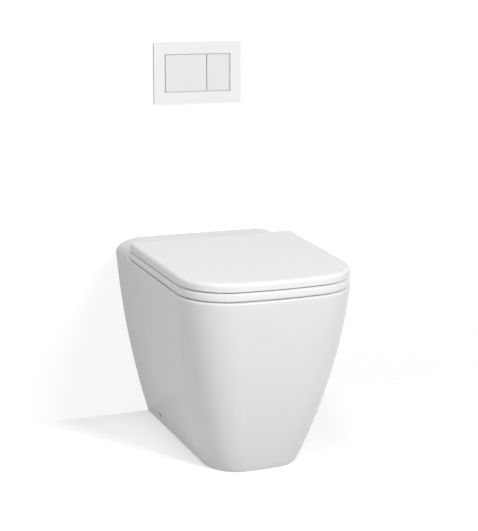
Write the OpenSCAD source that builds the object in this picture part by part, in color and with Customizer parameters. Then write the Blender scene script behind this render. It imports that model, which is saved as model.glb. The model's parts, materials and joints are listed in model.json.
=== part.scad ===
// Back to wall toilet with seat, lid, flush plate and concealed cistern.
// The wall's face is the plane Y = 0, the floor is Z = 0 and X = 0 is the middle of the pan.
// The toilet stands in front of the wall, towards -Y; the cistern is behind it, towards +Y.

/* [Pan outline] */
// Height of the rim under the seat
rim_height = 400; // [385:1:415]
// Reach of the rim from the wall
rim_depth = 551; // [530:1:580]
// Width of the rim at the wall
rim_width = 404; // [380:1:420]
// Width of the rim where its front corners start
rim_front_width = 378; // [360:1:390]
// Width of the rim's elliptical front corners, sideways
rim_corner_width = 109; // [90:1:120]
// Length of the rim's front corners, front to back
rim_corner_length = 117; // [100:1:130]
// Reach of the foot from the wall
foot_depth = 435; // [420:1:450]
// Width of the foot at the wall
foot_width = 257; // [240:1:280]
// Width of the foot where its front corners start
foot_front_width = 214; // [200:1:230]
// Width of the foot's front corners, sideways
foot_corner_width = 72; // [60:1:85]
// Length of the foot's front corners, front to back
foot_corner_length = 84; // [70:1:95]
// How much the front swells forward between its corners
front_bulge = 4; // [1:0.5:8]
// Swell of the skirt's side view, 0 for a straight slope
skirt_bow = 0.59; // [0.3:0.01:0.8]
// Thickness of the glazed china
china = 12; // [10:0.5:14]

/* [Deck] */
// Rise of the deck at the wall above the rim
deck_rise = 28; // [22:1:32]
// Reach of the deck from the wall
deck_depth = 94; // [90:1:96]
// Width of the deck's rounded shoulders
shoulder_width = 67; // [50:1:75]
// Height of the deck's rounded shoulders
shoulder_height = 31; // [28:1:36]

/* [Bowl] */
// Distance of the bowl's middle from the wall
bowl_centre = 337; // [332:1:342]
// Length of the bowl's opening
bowl_length = 330; // [320:1:340]
// Width of the bowl's opening
bowl_width = 256; // [240:1:270]
// Radius of the bowl's top edge
bowl_edge = 8; // [5:0.5:10]
// Thickness of the bowl's wall
bowl_wall = 11; // [9:0.5:12]
// Radius of the sump at the bottom of the bowl
sump_radius = 38; // [36:1:40]
// Height of the sump's top edge
sump_top = 125; // [120:1:130]
// Height of the sump's floor
sump_floor = 55; // [50:1:58]

/* [Trap and outlet] */
// Bore of the trap
trap_bore = 60; // [56:1:62]
// Thickness of the trap's wall
trap_wall = 10; // [8:0.5:11]
// Radius of the trap's bends
trap_bend = 55; // [50:1:60]
// Slope of the trap's rising part, in degrees
trap_slope = 60; // [55:1:65]
// Height of the outlet's middle above the floor
outlet_height = 180; // [175:1:185]
// Outside diameter of the outlet spigot
spigot_width = 102; // [100:0.5:104]
// Bore of the outlet spigot
spigot_bore = 90; // [86:1:92]
// Distance of the spigot's end from the wall
spigot_setback = 25; // [20:1:30]
// Length of the spigot
spigot_length = 37; // [34:1:45]
// Drop from the rim to the flush inlet's middle
inlet_drop = 65; // [60:1:70]
// Bore of the flush inlet
inlet_bore = 55; // [54:0.5:56]
// Distance of the inlet's mouth from the wall
inlet_setback = 40; // [35:1:45]

/* [Seat and lid] */
// Gap between rim and seat
seat_gap = 1.5; // [1.2:0.1:2.5]
// Thickness of the seat
seat_thickness = 18.5; // [17:0.5:19]
// Gap between seat and lid
lid_gap = 2; // [1.8:0.1:3]
// Height of the lid with its edge
lid_thickness = 18; // [17:0.5:20]
// Wall of the lid's shell
lid_wall = 3.5; // [3:0.1:3.6]
// Distance of the seat's and lid's back edge from the deck
back_gap = 5; // [4:0.5:6]
// Inset of the seat's outline from the rim's on each side
cover_inset = 1; // [0:0.5:3]
// Radius of the back corners of seat and lid, in plan
cover_corner = 12; // [8:1:16]
// Radius of the lid's top edge
lid_edge = 8; // [6:0.5:8]
// Radius of the seat's outer edges
seat_edge = 5; // [4:0.5:6]
// Length of the seat's opening
seat_hole_length = 270; // [250:1:290]
// Width of the seat's opening
seat_hole_width = 216; // [200:1:230]
// Drop of the seat's top towards its opening
seat_dish = 3; // [1:0.5:4]
// Opening angle of the seat, in degrees
seat_swing = 97; // [90:1:98]

/* [Hinges] */
// Distance between the two seat fixings
fixing_spacing = 155; // [150:1:160]
// Diameter of the hinge pins
hinge_pin = 6; // [5:0.5:6]
// Outside diameter of the hinge knuckles
knuckle = 11; // [10:0.5:11]
// Length of each hinge post's barrel
post_length = 31; // [28:1:34]
// Length of each lug on seat and lid
lug_length = 16; // [12:1:18]
// Side gap between hinge post and lugs
lug_gap = 2; // [1:0.5:3]
// Thickness of the posts' stems and of the seat's lugs
stem_thickness = 7; // [6:0.5:7]
// Depth of the posts' foot, front to back
post_foot = 20; // [18:1:22]
// Height of the posts' foot
post_foot_height = 3.5; // [3:0.5:5]
// Thickness of the gaskets under the posts
post_gasket = 1.5; // [1:0.5:2]
// Diameter of the fixing studs
stud_width = 8; // [6:1:10]
// Diameter of the fixing holes in the rim
stud_hole = 16; // [14:1:18]

/* [Flush plate] */
// Width of the flush plate
plate_width = 212; // [205:1:225]
// Height of the flush plate
plate_tall = 142; // [136:1:150]
// Thickness of the flush plate
plate_thickness = 6; // [5.5:0.5:8]
// Height of the flush plate's middle above the floor
plate_height = 810; // [780:5:830]
// Width of the buttons' field in the plate
field_width = 160; // [156:1:164]
// Height of the buttons' field in the plate
field_tall = 90; // [86:1:94]
// Width of the full flush button's share of the field
full_share = 102; // [96:1:104]
// Depth of the buttons' faces behind the plate's face
button_recess = 1; // [0.5:0.1:1.5]
// Travel of the buttons
button_travel = 5; // [4:0.5:5]
// Gap round the buttons
button_gap = 1.2; // [0.6:0.1:1.4]

/* [Cistern] */
// Width of the cistern
tank_width = 380; // [360:5:400]
// Depth of the cistern, front to back
tank_depth = 110; // [105:1:120]
// Distance of the cistern from the wall's face
tank_setback = 40; // [35:1:50]
// Height of the cistern's floor above the room's floor
tank_bottom = 540; // [520:5:560]
// Height of the cistern's top above the room's floor
tank_top = 900; // [890:5:920]
// Thickness of the cistern's wall
tank_wall = 4; // [3:0.5:5]
// Outside diameter of the flush pipe
pipe_width = 44; // [42:1:46]
// Wall of the flush pipe
pipe_wall = 2; // [1.5:0.5:3]
// Radius of the flush pipe's bend
pipe_bend = 60; // [50:5:70]

/* [Hidden] */

white = [0.94, 0.94, 0.94];
off_white = [0.88, 0.88, 0.87];
grey_plastic = [0.62, 0.64, 0.66];
steel = [0.75, 0.76, 0.78];
rubber = [0.16, 0.16, 0.17];
brass_plate = [0.8, 0.8, 0.82];
blue_plastic = [0.2, 0.36, 0.6];

// Clearances: shaft in bore, and the small gap between pieces that lie on each other
running = 0.05;
seated = 0.3;
// Segments of the true curves' preview
$fn = 48;

// Height of the flush inlet's middle above the floor
inlet_height = rim_height - inlet_drop;

// ---- Outline of the pan, seat and lid -------------------------------------------------

// Steps along one half of an outline: across the back, round the back corner, along the
// side, round the front corner and across the front.
back_steps = 3;
back_corner_steps = 3;
side_steps = 7;
corner_steps = 9;
front_steps = 2;
half_steps = back_steps + side_steps + corner_steps + front_steps;

// Share of the way from the foot's outline to the rim's at a height
function flare(z) = let (t = z / rim_height) t * (1 + skirt_bow * (1 - t));
function between(low, high, share) = low + (high - low) * share;

// Driving sizes of the skirt's outline at a height: half width at the wall, half width at
// the corner, corner width, corner length, depth and bulge
function skirt_sizes(z) = let (s = flare(z)) [
    between(foot_width, rim_width, s) / 2,
    between(foot_front_width, rim_front_width, s) / 2,
    between(foot_corner_width, rim_corner_width, s),
    between(foot_corner_length, rim_corner_length, s),
    between(foot_depth, rim_depth, s),
    front_bulge * (0.25 + 0.75 * s)];

// Half width of the skirt's outer face at a height and a distance from the wall
function skirt_half_width(z, y) = let (k = skirt_sizes(z), end = k[4] - k[5] - k[3])
    between(k[0], k[1], y / end);

// Distances from the wall of the points along the side: two up to the deck's front edge,
// the others in even steps to the front corner
deck_stop = deck_depth + 6;
function side_reach(i, start, end) = start == 0 && i <= 2 ? deck_stop * i / 2 :
    start == 0 ? between(deck_stop, end, (i - 2) / (side_steps - 2)) :
    between(start, end, i / side_steps);

// Front corner and front of an outline, from the corner's start to the middle of the front
function front_points(k, inset) = let (end = k[4] - k[5] - k[3], wide = k[1] - k[2]) concat(
    [for (i = [1 : corner_steps]) let (a = 90 * i / corner_steps)
        [wide + (k[2] - inset) * cos(a), -end - (k[3] - inset) * sin(a)]],
    [for (i = [1 : front_steps]) let (u = 1 - i / front_steps)
        [wide * u, -k[4] + inset + k[5] * u * u]]);

// Right half of the skirt's outline, from the middle of the wall side to the front
function skirt_half(z, inset, pinch) = let (k = skirt_sizes(z), end = k[4] - k[5] - k[3]) concat(
    [for (i = [0 : back_steps - 1]) [(k[0] - inset - pinch) * i / back_steps, -inset]],
    [for (i = [0 : side_steps]) let (y = max(side_reach(i, 0, end), inset))
        [between(k[0], k[1], y / end) - inset - pinch * shoulder_share(y), -y]],
    front_points(k, inset));

// Share of the shoulder's width that the outline has at a distance from the wall
function shoulder_share(y) = y <= deck_stop ? 1 : max(0.1, 1 - (y - deck_stop) / 60);

// Right half of the seat's and lid's outline, with its rounded back corner
cover_back = deck_depth + back_gap;
function cover_half(inset) = let (k = skirt_sizes(rim_height), end = k[4] - k[5] - k[3],
        r = cover_corner - inset, grow = cover_inset + inset,
        back_half = between(k[0], k[1], cover_back / end) - cover_inset - cover_corner) concat(
    [for (i = [0 : back_steps - 1]) [back_half * i / back_steps, -cover_back - inset]],
    [for (i = [0 : back_corner_steps - 1]) let (a = 90 * i / back_corner_steps)
        [back_half + r * sin(a), -cover_back - cover_corner + r * cos(a)]],
    [for (i = [0 : side_steps]) let (y = side_reach(i, cover_back + cover_corner, end))
        [between(back_half + r, k[1] - grow, i / side_steps), -y]],
    front_points(k, grow));

// A whole ring of points from its right half
function ring(half) = concat(half, [for (i = [len(half) - 2 : -1 : 1]) [-half[i][0], half[i][1]]]);
function at_height(points, z) = [for (p = points) [p[0], p[1], z]];

// An oval round a middle, with a point in the direction of each point of a ring
function oval(guide, centre, half_long, half_wide) = [for (p = guide)
    let (a = atan2(p[0], p[1] + centre),
        r = 1 / sqrt(pow(cos(a) / half_long, 2) + pow(sin(a) / half_wide, 2)))
    [r * sin(a), -centre + r * cos(a)]];

// Faces between the rows of a grid whose columns run round
function row_faces(first, second, count) = [for (i = [0 : count - 1]) let (j = (i + 1) % count)
    each [[first + i, second + j, first + j], [first + i, second + i, second + j]]];
function rows_faces(rows, count, start) = [for (r = [0 : rows - 2])
    each row_faces(start + r * count, start + (r + 1) * count, count)];
// Fans that close the first and last rows at a pole
function first_fan(pole, start, count) = [for (i = [0 : count - 1])
    [pole, start + i, start + (i + 1) % count]];
function last_fan(pole, start, count) = [for (i = [0 : count - 1])
    [pole, start + (i + 1) % count, start + i]];

// A closed skin from a pole through all rows to another pole
module skin(first_pole, rows, last_pole) {
    count = len(rows[0]);
    size = len(rows) * count;
    polyhedron(
        points = concat([first_pole], [for (r = rows) each r], [last_pole]),
        faces = concat(first_fan(0, 1, count), rows_faces(len(rows), count, 1),
            last_fan(size + 1, size + 1 - count, count)),
        convexity = 8);
}

// A closed skin whose last row meets its first
module hoop(rows) {
    count = len(rows[0]);
    polyhedron(
        points = [for (r = rows) each r],
        faces = concat(rows_faces(len(rows), count, 0),
            row_faces((len(rows) - 1) * count, 0, count)),
        convexity = 8);
}

// ---- Plain helpers ----------------------------------------------------------------------

module block(low, high) {
    translate(low)
        cube(high - low);
}

// Rods along X, Y and Z between two stations
module rod_x(r, from, to, y, z) {
    translate([from, y, z])
        rotate([0, 90, 0])
            cylinder(r = r, h = to - from);
}

module rod_y(r, from, to, x, z) {
    translate([x, from, z])
        rotate([-90, 0, 0])
            cylinder(r = r, h = to - from);
}

module rod_z(r, from, to, x, y) {
    translate([x, y, from])
        cylinder(r = r, h = to - from);
}

// A bend in the plane X = 0 about a centre, its angles measured from +Y towards +Z
module bend_yz(centre_y, centre_z, radius, r, from, turn) {
    translate([0, centre_y, centre_z])
        rotate([90, 0, 90])
            rotate([0, 0, from])
                rotate_extrude(angle = turn)
                    translate([radius, 0])
                        circle(r = r);
}

// A hexagon bar along X, for nuts
module hex_x(across, from, to, y, z) {
    translate([from, y, z])
        rotate([0, 90, 0])
            cylinder(d = across / cos(30), h = to - from, $fn = 6);
}

// Points of a rectangle with round corners
round_steps = 5;
function round_rect(w, h, r) = [for (q = [0 : 3]) for (i = [0 : round_steps])
    let (a = 90 * q + 90 * i / round_steps,
        cx = (q == 0 || q == 3 ? 1 : -1) * (w / 2 - r), cy = (q < 2 ? 1 : -1) * (h / 2 - r))
    [cx + r * cos(a), cy + r * sin(a)]];

// A panel parallel to the wall, with round corners
module panel(w, h, r, from, to, z) {
    translate([0, to, z])
        rotate([90, 0, 0])
            linear_extrude(height = to - from)
                polygon(round_rect(w, h, r));
}

module both_sides() {
    children();
    mirror([1, 0, 0])
        children();
}

// ---- Pan ----------------------------------------------------------------------------------

deck_top = rim_height + deck_rise;
seat_bottom = rim_height + seat_gap;
seat_top = seat_bottom + seat_thickness;
lid_bottom = seat_top + lid_gap;
lid_top = lid_bottom + lid_thickness;
rim_underside = rim_height - china;
guide = ring(skirt_half(rim_height, 0, 0));

// Share of the bowl's opening that is left at a height, 1 at the rim and 0 at the sump
function bowl_share(z) = z <= sump_top ? 0 :
    pow(1 - pow(min(1, (rim_height - z) / (rim_height - sump_top)), 1.6), 0.85);
function bowl_reach(z) = between(sump_radius, bowl_length / 2, bowl_share(z));
function bowl_spread(z) = between(sump_radius - 2, bowl_width / 2, bowl_share(z));
function bowl_row(z, grow) = at_height(
    oval(guide, bowl_centre, bowl_reach(z) + grow, bowl_spread(z) + grow), z);

// The sump's wall turns into its floor along a squarish round, 0 at the wall, 90 at the pole
sump_round_top = sump_floor + sump_radius;
sump_angles = [12, 30, 50, 72];
function sump_row(a, grow) = at_height(
    oval(guide, bowl_centre, (sump_radius + grow) * sqrt(cos(a)),
        (sump_radius - 2 + grow) * sqrt(cos(a))),
    sump_round_top - (sump_radius + grow) * sqrt(sin(a)));

// Rows of the bowl from the sump to its rounded top edge
edge_foot = rim_height - bowl_edge + 0.5;
bowl_levels = [for (t = [0, 0.06, 0.16, 0.3, 0.45, 0.6, 0.75, 0.9])
    between(sump_top, edge_foot, t)];
function edge_row(a, z) = at_height(
    oval(guide, bowl_centre, bowl_reach(edge_foot) + bowl_edge * (1 - cos(a)),
        bowl_spread(edge_foot) + bowl_edge * (1 - cos(a))), z);
edge_angles = [0, 30, 60, 90];

// Rows of the deck's shoulder and of the skirt's outer and inner face
shoulder_foot = deck_top - shoulder_height;
shoulder_angles = [90, 70, 50, 32, 16, 0];
skirt_shares = [0.86, 0.71, 0.56, 0.41, 0.27, 0.13, 0];
inner_shares = [0, 0.25, 0.5, 0.75, 1];
function skirt_row(z, inset, pinch) = at_height(ring(skirt_half(z, inset, pinch)), z);

pan_rows = concat(
    [for (i = [3 : -1 : 0]) sump_row(sump_angles[i], 0)],
    [bowl_row(sump_round_top, 0)],
    [for (z = bowl_levels) bowl_row(z, 0)],
    [for (a = edge_angles) edge_row(a, edge_foot + bowl_edge * sin(a))],
    [edge_row(90, deck_top)],
    [for (a = shoulder_angles) at_height(
        ring(skirt_half(shoulder_foot, 0, shoulder_width * (1 - cos(a)))),
        shoulder_foot + shoulder_height * sin(a))],
    [for (t = skirt_shares) skirt_row(t * shoulder_foot, 0, 0)],
    [for (t = inner_shares) skirt_row(t * rim_underside, china, 0)],
    [bowl_row(rim_underside, bowl_wall)],
    [for (i = [len(bowl_levels) - 2 : -1 : 0]) bowl_row(bowl_levels[i], bowl_wall)],
    [bowl_row(sump_round_top, bowl_wall)],
    [for (a = sump_angles) sump_row(a, bowl_wall)]);

// Run of the trap: a short throat behind the sump, a bend up, a slope, a bend back to level
// and the crown, which opens into the outlet chamber
trap_low = sump_floor + trap_bore / 2;
trap_high = outlet_height + (spigot_bore - trap_bore) / 2 - 2;
trap_start = -bowl_centre + sump_radius - 1.5;
throat_length = 12;
trap_turn = trap_start + throat_length;
bend_run = trap_bend * sin(trap_slope);
bend_rise = trap_bend * (1 - cos(trap_slope));
slope_length = (trap_high - trap_low - 2 * bend_rise) / sin(trap_slope);
// The slope is a little wider than the bends and reaches into them
slope_swell = 0.4;
slope_overlap = 1.5;
crown_y = trap_turn + 2 * bend_run + slope_length * cos(trap_slope);
crown_length = 28;
spigot_end = -spigot_setback;
chamber_end = spigot_end - spigot_length;
chamber_radius = spigot_bore / 2 + trap_wall;

module trap_passage(r, start, outlet_r, outlet_from, outlet_to) {
    rod_y(r, start, trap_turn, 0, trap_low);
    bend_yz(trap_turn, trap_low + trap_bend, trap_bend, r, -90, trap_slope);
    translate([0, trap_turn + bend_run, trap_low + bend_rise])
        rotate([trap_slope - 90, 0, 0])
            translate([0, 0, -slope_overlap])
                cylinder(r = r + slope_swell, h = slope_length + 2 * slope_overlap);
    bend_yz(crown_y, trap_high - trap_bend, trap_bend, r, 90, trap_slope);
    rod_y(r, crown_y, crown_y + crown_length + 5, 0, trap_high);
    rod_y(outlet_r, outlet_from, outlet_to, 0, outlet_height);
}

// The flush inlet ends in the bowl's back wall, whose slope its end follows
inlet_wall = 10.5;
inlet_radius = inlet_bore / 2;
horn_radius = inlet_radius + inlet_wall;
function bowl_back(z) = bowl_reach(z) - bowl_centre;
horn_end = bowl_back(inlet_height) + 0.25 * bowl_wall;
horn_tilt = atan((bowl_back(inlet_height + horn_radius) - bowl_back(inlet_height - horn_radius))
    / (2 * horn_radius));
module inlet_horn() {
    difference() {
        rod_y(horn_radius, horn_end - 3 * bowl_wall, -inlet_setback, 0, inlet_height);
        translate([0, horn_end, inlet_height])
            rotate([-horn_tilt, 0, 0])
                block([-2 * horn_radius, -6 * bowl_wall, -2 * horn_radius],
                    [2 * horn_radius, 0, 2 * horn_radius]);
    }
}

// Opening in the back of the pan and hollow of the deck
window_margin = 24;
pocket_half = rim_width / 2 - shoulder_width - 5;
module back_window() {
    low_half = foot_width / 2 - window_margin - china;
    high_half = rim_width / 2 - window_margin - china;
    translate([0, 1, 0])
        rotate([90, 0, 0])
            linear_extrude(height = china + 2)
                polygon([[-low_half, -1], [low_half, -1],
                    [between(low_half, high_half, 0.68), rim_underside / 2],
                    [high_half, rim_underside - china],
                    [-high_half, rim_underside - china],
                    [-between(low_half, high_half, 0.68), rim_underside / 2]]);
}

// Side fixing: a screw through each flank into a block on the floor
side_fix_y = -105;
side_fix_z = 24;
side_hole = 7;
side_head_hole = 11;
head_hole_depth = 6;
flank_x = skirt_half_width(side_fix_z, -side_fix_y);
flank_tilt = atan((skirt_half_width(2 * side_fix_z, -side_fix_y)
    - skirt_half_width(0, -side_fix_y)) / (2 * side_fix_z));

fixing_x = fixing_spacing / 2;
hinge_y = -cover_back - lid_edge - 1.5;
hinge_z = lid_top - lid_edge - 1.5;

module pan() {
    color(white) difference() {
        union() {
            skin([0, -bowl_centre, sump_floor], pan_rows,
                [0, -bowl_centre, sump_floor - bowl_wall]);
            trap_passage(trap_bore / 2 + trap_wall, trap_start, chamber_radius,
                crown_y + crown_length - trap_wall, chamber_end);
            rod_y(spigot_width / 2, chamber_end - trap_wall / 2, spigot_end, 0, outlet_height);
            inlet_horn();
        }
        block([-rim_width, -rim_depth - 1, rim_height], [rim_width, -deck_depth, deck_top + 1]);
        block([-pocket_half, china - deck_depth, rim_underside - 1],
            [pocket_half, -china, deck_top - china]);
        back_window();
        trap_passage(trap_bore / 2, -bowl_centre, spigot_bore / 2, crown_y + crown_length,
            spigot_end + 1);
        rod_y(inlet_radius, bowl_back(inlet_height) - 2 * bowl_wall, 1 - inlet_setback, 0,
            inlet_height);
        both_sides() {
            rod_z(stud_hole / 2, rim_underside - 1, rim_height + 1, fixing_x, hinge_y);
            rod_x(side_hole / 2, flank_x - 3 * china, flank_x + china, side_fix_y, side_fix_z);
            rod_x(side_head_hole / 2, flank_x - head_hole_depth, flank_x + china, side_fix_y,
                side_fix_z);
        }
    }
}

// ---- Seat and lid -----------------------------------------------------------------------------

cover_guide = ring(cover_half(0));
seat_hole_edge = 7;
function cover_row(inset, z) = at_height(ring(cover_half(inset)), z);
function hole_row(grow, z) = at_height(oval(cover_guide, bowl_centre,
    seat_hole_length / 2 + grow, seat_hole_width / 2 + grow), z);
rising = [0, 30, 60, 90];
falling = [90, 60, 30, 0];

seat_rows = concat(
    [for (a = falling) cover_row(seat_edge * (1 - cos(a)), seat_top - seat_edge * (1 - sin(a)))],
    [for (a = falling)
        cover_row(seat_edge * (1 - sin(a)), seat_bottom + seat_edge * (1 - cos(a)))],
    [for (a = [90, 0]) hole_row(seat_edge * (1 - cos(a)) / 2,
        seat_bottom + seat_edge * (1 - sin(a)) / 2)],
    [for (a = falling) hole_row(seat_hole_edge * (1 - sin(a)),
        seat_top - seat_dish - seat_hole_edge * (1 - cos(a)))]);

// Stations of the hinge along X: seat lug, post and lid lug
post_from = fixing_x - post_length / 2;
post_to = fixing_x + post_length / 2;
seat_lug_from = post_from - lug_gap - lug_length;
lid_lug_to = post_to + lug_gap + lug_length;
pin_radius = hinge_pin / 2;
foot_length = post_length;
notch_gap = 1.5;

module seat() {
    color(white) difference() {
        union() {
            hoop(seat_rows);
            both_sides() {
                rod_x(knuckle / 2, seat_lug_from, seat_lug_from + lug_length, hinge_y, hinge_z);
                block([seat_lug_from, hinge_y - stem_thickness / 2, seat_top - seat_edge],
                    [seat_lug_from + lug_length, hinge_y + stem_thickness / 2, hinge_z]);
            }
        }
        both_sides() {
            rod_x(pin_radius + running, seat_lug_from - 1, post_from, hinge_y, hinge_z);
            block([post_from - notch_gap, hinge_y - post_foot / 2 - notch_gap, seat_bottom - 1],
                [post_to + notch_gap, -deck_depth, seat_top + 1]);
        }
    }
}

lid_inner_edge = lid_edge - lid_wall;
lid_rows = concat(
    [for (a = falling) cover_row(lid_edge * (1 - cos(a)), lid_top - lid_edge * (1 - sin(a)))],
    [cover_row(0, lid_bottom), cover_row(lid_wall, lid_bottom)],
    [for (a = rising) cover_row(lid_wall + lid_inner_edge * (1 - cos(a)),
        lid_top - lid_edge + lid_inner_edge * sin(a))]);
// The slots in the lid's back wall let it turn past the stems; the wall's bottom edge is
// cut on a slope, to turn clear of the seat
lid_slot_top = lid_top - lid_wall + 0.5;
lid_cut_low = lid_edge - 2.1;
lid_cut_drop = 1.7;
lid_cut_foot = 7;
lid_cut_high = lid_edge + 2.5;

module lid() {
    middle = (rim_depth + cover_back) / 2;
    color(white) difference() {
        union() {
            skin([0, -middle, lid_top], lid_rows, [0, -middle, lid_top - lid_wall]);
            both_sides() {
                rod_x(knuckle / 2, lid_lug_to - lug_length, lid_lug_to, hinge_y, hinge_z);
                block([lid_lug_to - lug_length, hinge_y - knuckle / 2, hinge_z],
                    [lid_lug_to, hinge_y + knuckle / 2, lid_slot_top]);
                for (y = lid_buffer_y)
                    rod_z(lid_boss, lid_bottom + 1, lid_slot_top, lid_buffer_x, y);
            }
        }
        both_sides() {
            rod_x(pin_radius + running, post_to, lid_lug_to + 1, hinge_y, hinge_z);
            block([seat_lug_from - 1, hinge_y, lid_bottom - 1],
                [post_to + 1, 1 - cover_back, lid_slot_top]);
        }
        translate([-rim_width, hinge_y, 0])
            rotate([90, 0, 90])
                linear_extrude(height = 2 * rim_width)
                    polygon([[lid_cut_low, lid_bottom - 1], [lid_cut_high + 2, lid_bottom - 1],
                        [lid_cut_high + 2, hinge_z - lid_cut_drop],
                        [lid_cut_high, hinge_z - lid_cut_drop],
                        [lid_cut_low, hinge_z - lid_cut_foot]]);
    }
}

// Rubber buffers under the seat and under the lid
buffer_radius = 9;
buffer_x = seat_hole_width / 2 + 40;
seat_buffer_y = [-225, -430];
lid_buffer_x = rim_front_width / 2 - 19;
lid_buffer_y = [-250, -445];
lid_boss = 7;
module seat_buffers() {
    color(rubber) both_sides()
        for (y = seat_buffer_y)
            rod_z(buffer_radius, rim_height, seat_bottom, buffer_x, y);
}

module lid_buffers() {
    color(rubber) both_sides()
        for (y = lid_buffer_y)
            rod_z(lid_boss - 1, seat_top, lid_bottom + 1, lid_buffer_x, y);
}

// Posts with a flat foot on a gasket, a thin stem and a barrel for the pin
foot_bottom = rim_height + post_gasket;
foot_top = foot_bottom + post_foot_height;
stud_radius = stud_width / 2;
stud_end = foot_top - 1;
module hinge_posts() {
    color(steel) both_sides() difference() {
        union() {
            translate([fixing_x, hinge_y, foot_bottom])
                linear_extrude(height = post_foot_height)
                    polygon(round_rect(foot_length, post_foot, 4));
            block([post_from, hinge_y - stem_thickness / 2, foot_bottom],
                [post_to, hinge_y + stem_thickness / 2, hinge_z]);
            rod_x(knuckle / 2, post_from, post_to, hinge_y, hinge_z);
        }
        rod_x(pin_radius + running, post_from - 1, post_to + 1, hinge_y, hinge_z);
        rod_z(stud_radius + running, foot_bottom - 1, stud_end, fixing_x, hinge_y);
    }
}

pin_inset = 2;
module hinge_pins() {
    color(steel) both_sides()
        rod_x(pin_radius, seat_lug_from + pin_inset, lid_lug_to - pin_inset, hinge_y, hinge_z);
}

module post_gaskets() {
    color(rubber) both_sides() difference() {
        translate([fixing_x, hinge_y, rim_height])
            linear_extrude(height = post_gasket)
                polygon(round_rect(foot_length, post_foot, 4));
        rod_z(stud_radius + running, rim_height - 1, foot_bottom + 1, fixing_x, hinge_y);
    }
}

stud_length = 34;
washer_thickness = 3;
washer_radius = 14;
wing_nut_height = 12;
wing_nut_radius = 8;
wing_span = 34;
module fixing_studs() {
    color(steel) both_sides()
        rod_z(stud_radius, stud_end - stud_length, stud_end, fixing_x, hinge_y);
}

module stud_washers() {
    color(rubber) both_sides() difference() {
        rod_z(washer_radius, rim_underside - washer_thickness, rim_underside, fixing_x, hinge_y);
        rod_z(stud_radius + running, rim_underside - 2 * washer_thickness, rim_underside + 1,
            fixing_x, hinge_y);
    }
}

module wing_nuts() {
    nut_top = rim_underside - washer_thickness;
    nut_bottom = nut_top - wing_nut_height;
    color(off_white) both_sides() difference() {
        union() {
            rod_z(wing_nut_radius, nut_bottom, nut_top, fixing_x, hinge_y);
            translate([fixing_x, hinge_y, nut_bottom])
                for (side = [0, 180])
                    rotate([90, 0, side])
                        translate([0, 0, -1.5])
                            linear_extrude(height = 3)
                                polygon([[wing_nut_radius - 1, 1], [wing_span / 2 - 3, -3],
                                    [wing_span / 2, 0], [wing_span / 2, wing_nut_height - 4],
                                    [wing_nut_radius - 1, wing_nut_height - 1]]);
        }
        rod_z(stud_radius + running, nut_bottom - 4, nut_top + 1, fixing_x, hinge_y);
    }
}

// ---- Floor fixing --------------------------------------------------------------------------------

fix_block_length = 36;
fix_block_height = 40;
fix_block_width = 34;
side_screw = 5;
floor_hole = 7;
fix_front = -side_fix_y + fix_block_length / 2;
fix_foot_x = skirt_half_width(0, fix_front) - china - seated;
fix_head_x = skirt_half_width(fix_block_height, fix_front) - china - 3 * seated;
floor_hole_x = fix_foot_x - fix_block_width / 2;
module floor_blocks() {
    color(blue_plastic) both_sides() difference() {
        translate([0, side_fix_y + fix_block_length / 2, 0])
            rotate([90, 0, 0])
                linear_extrude(height = fix_block_length)
                    polygon([[fix_foot_x - fix_block_width, 0], [fix_foot_x, 0],
                        [fix_head_x, fix_block_height],
                        [fix_foot_x - 6, fix_block_height], [fix_foot_x - 10, 12],
                        [fix_foot_x - fix_block_width, 8]]);
        rod_x(side_screw / 2 + running, fix_foot_x - 12, flank_x, side_fix_y, side_fix_z);
        rod_z(floor_hole / 2, -1, fix_block_height + 1, floor_hole_x, side_fix_y);
    }
}

screw_head = 10;
screw_head_height = 3.5;
head_seat_x = flank_x - head_hole_depth;
module side_screws() {
    color(steel) both_sides() {
        rod_x(side_screw / 2, fix_foot_x - 16, head_seat_x, side_fix_y, side_fix_z);
        difference() {
            rod_x(screw_head / 2, head_seat_x, head_seat_x + screw_head_height, side_fix_y,
                side_fix_z);
            block([head_seat_x + 1.5, side_fix_y - 4, side_fix_z - 0.6],
                [head_seat_x + 5, side_fix_y + 4, side_fix_z + 0.6]);
        }
    }
}

cap_radius = 6.2;
cap_height = 2.2;
cap_plug = 8;
module side_caps() {
    color(white) both_sides()
        translate([flank_x, side_fix_y, side_fix_z])
            rotate([0, 90 + flank_tilt, 0]) {
                translate([0, 0, seated])
                    rotate_extrude()
                        polygon(concat([[0, 0], [cap_radius, 0]],
                            [for (a = [15 : 15 : 90])
                                [cap_radius - 2 * (1 - cos(a)), cap_height - 2 + 2 * sin(a)]],
                            [[0, cap_height]]));
                translate([0, 0, -1.5])
                    cylinder(d = cap_plug, h = 1.5 + seated + 0.5);
            }
}

// ---- Outlet, inlet and flush pipe ------------------------------------------------------------------

spigot_radius = spigot_width / 2;
seal_gap = 2;
connector_wall = 3.5;
connector_radius = 55;
connector_reach = 80;
socket_front = chamber_end + 4;
socket_back = spigot_end + 8;
seal_front = socket_front + 5;
seal_width = 8;
module outlet_connector() {
    inner = spigot_radius + seal_gap;
    color(grey_plastic) translate([0, 0, outlet_height])
        rotate([-90, 0, 0])
            rotate_extrude()
                polygon([[inner, socket_front], [inner + connector_wall + 2, socket_front],
                    [inner + connector_wall + 2, socket_front + 4],
                    [inner + connector_wall, socket_front + 6],
                    [inner + connector_wall, socket_back],
                    [connector_radius, socket_back + 4],
                    [connector_radius, connector_reach],
                    [connector_radius - connector_wall, connector_reach],
                    [connector_radius - connector_wall - 3, socket_back],
                    [connector_radius - connector_wall - 3, spigot_end + seated],
                    [inner, spigot_end + seated]]);
}

module outlet_seal() {
    color(rubber) difference() {
        rod_y(spigot_radius + seal_gap - running, seal_front, seal_front + seal_width, 0,
            outlet_height);
        rod_y(spigot_radius + running, seal_front - 1, seal_front + seal_width + 1, 0, outlet_height);
    }
}

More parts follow.
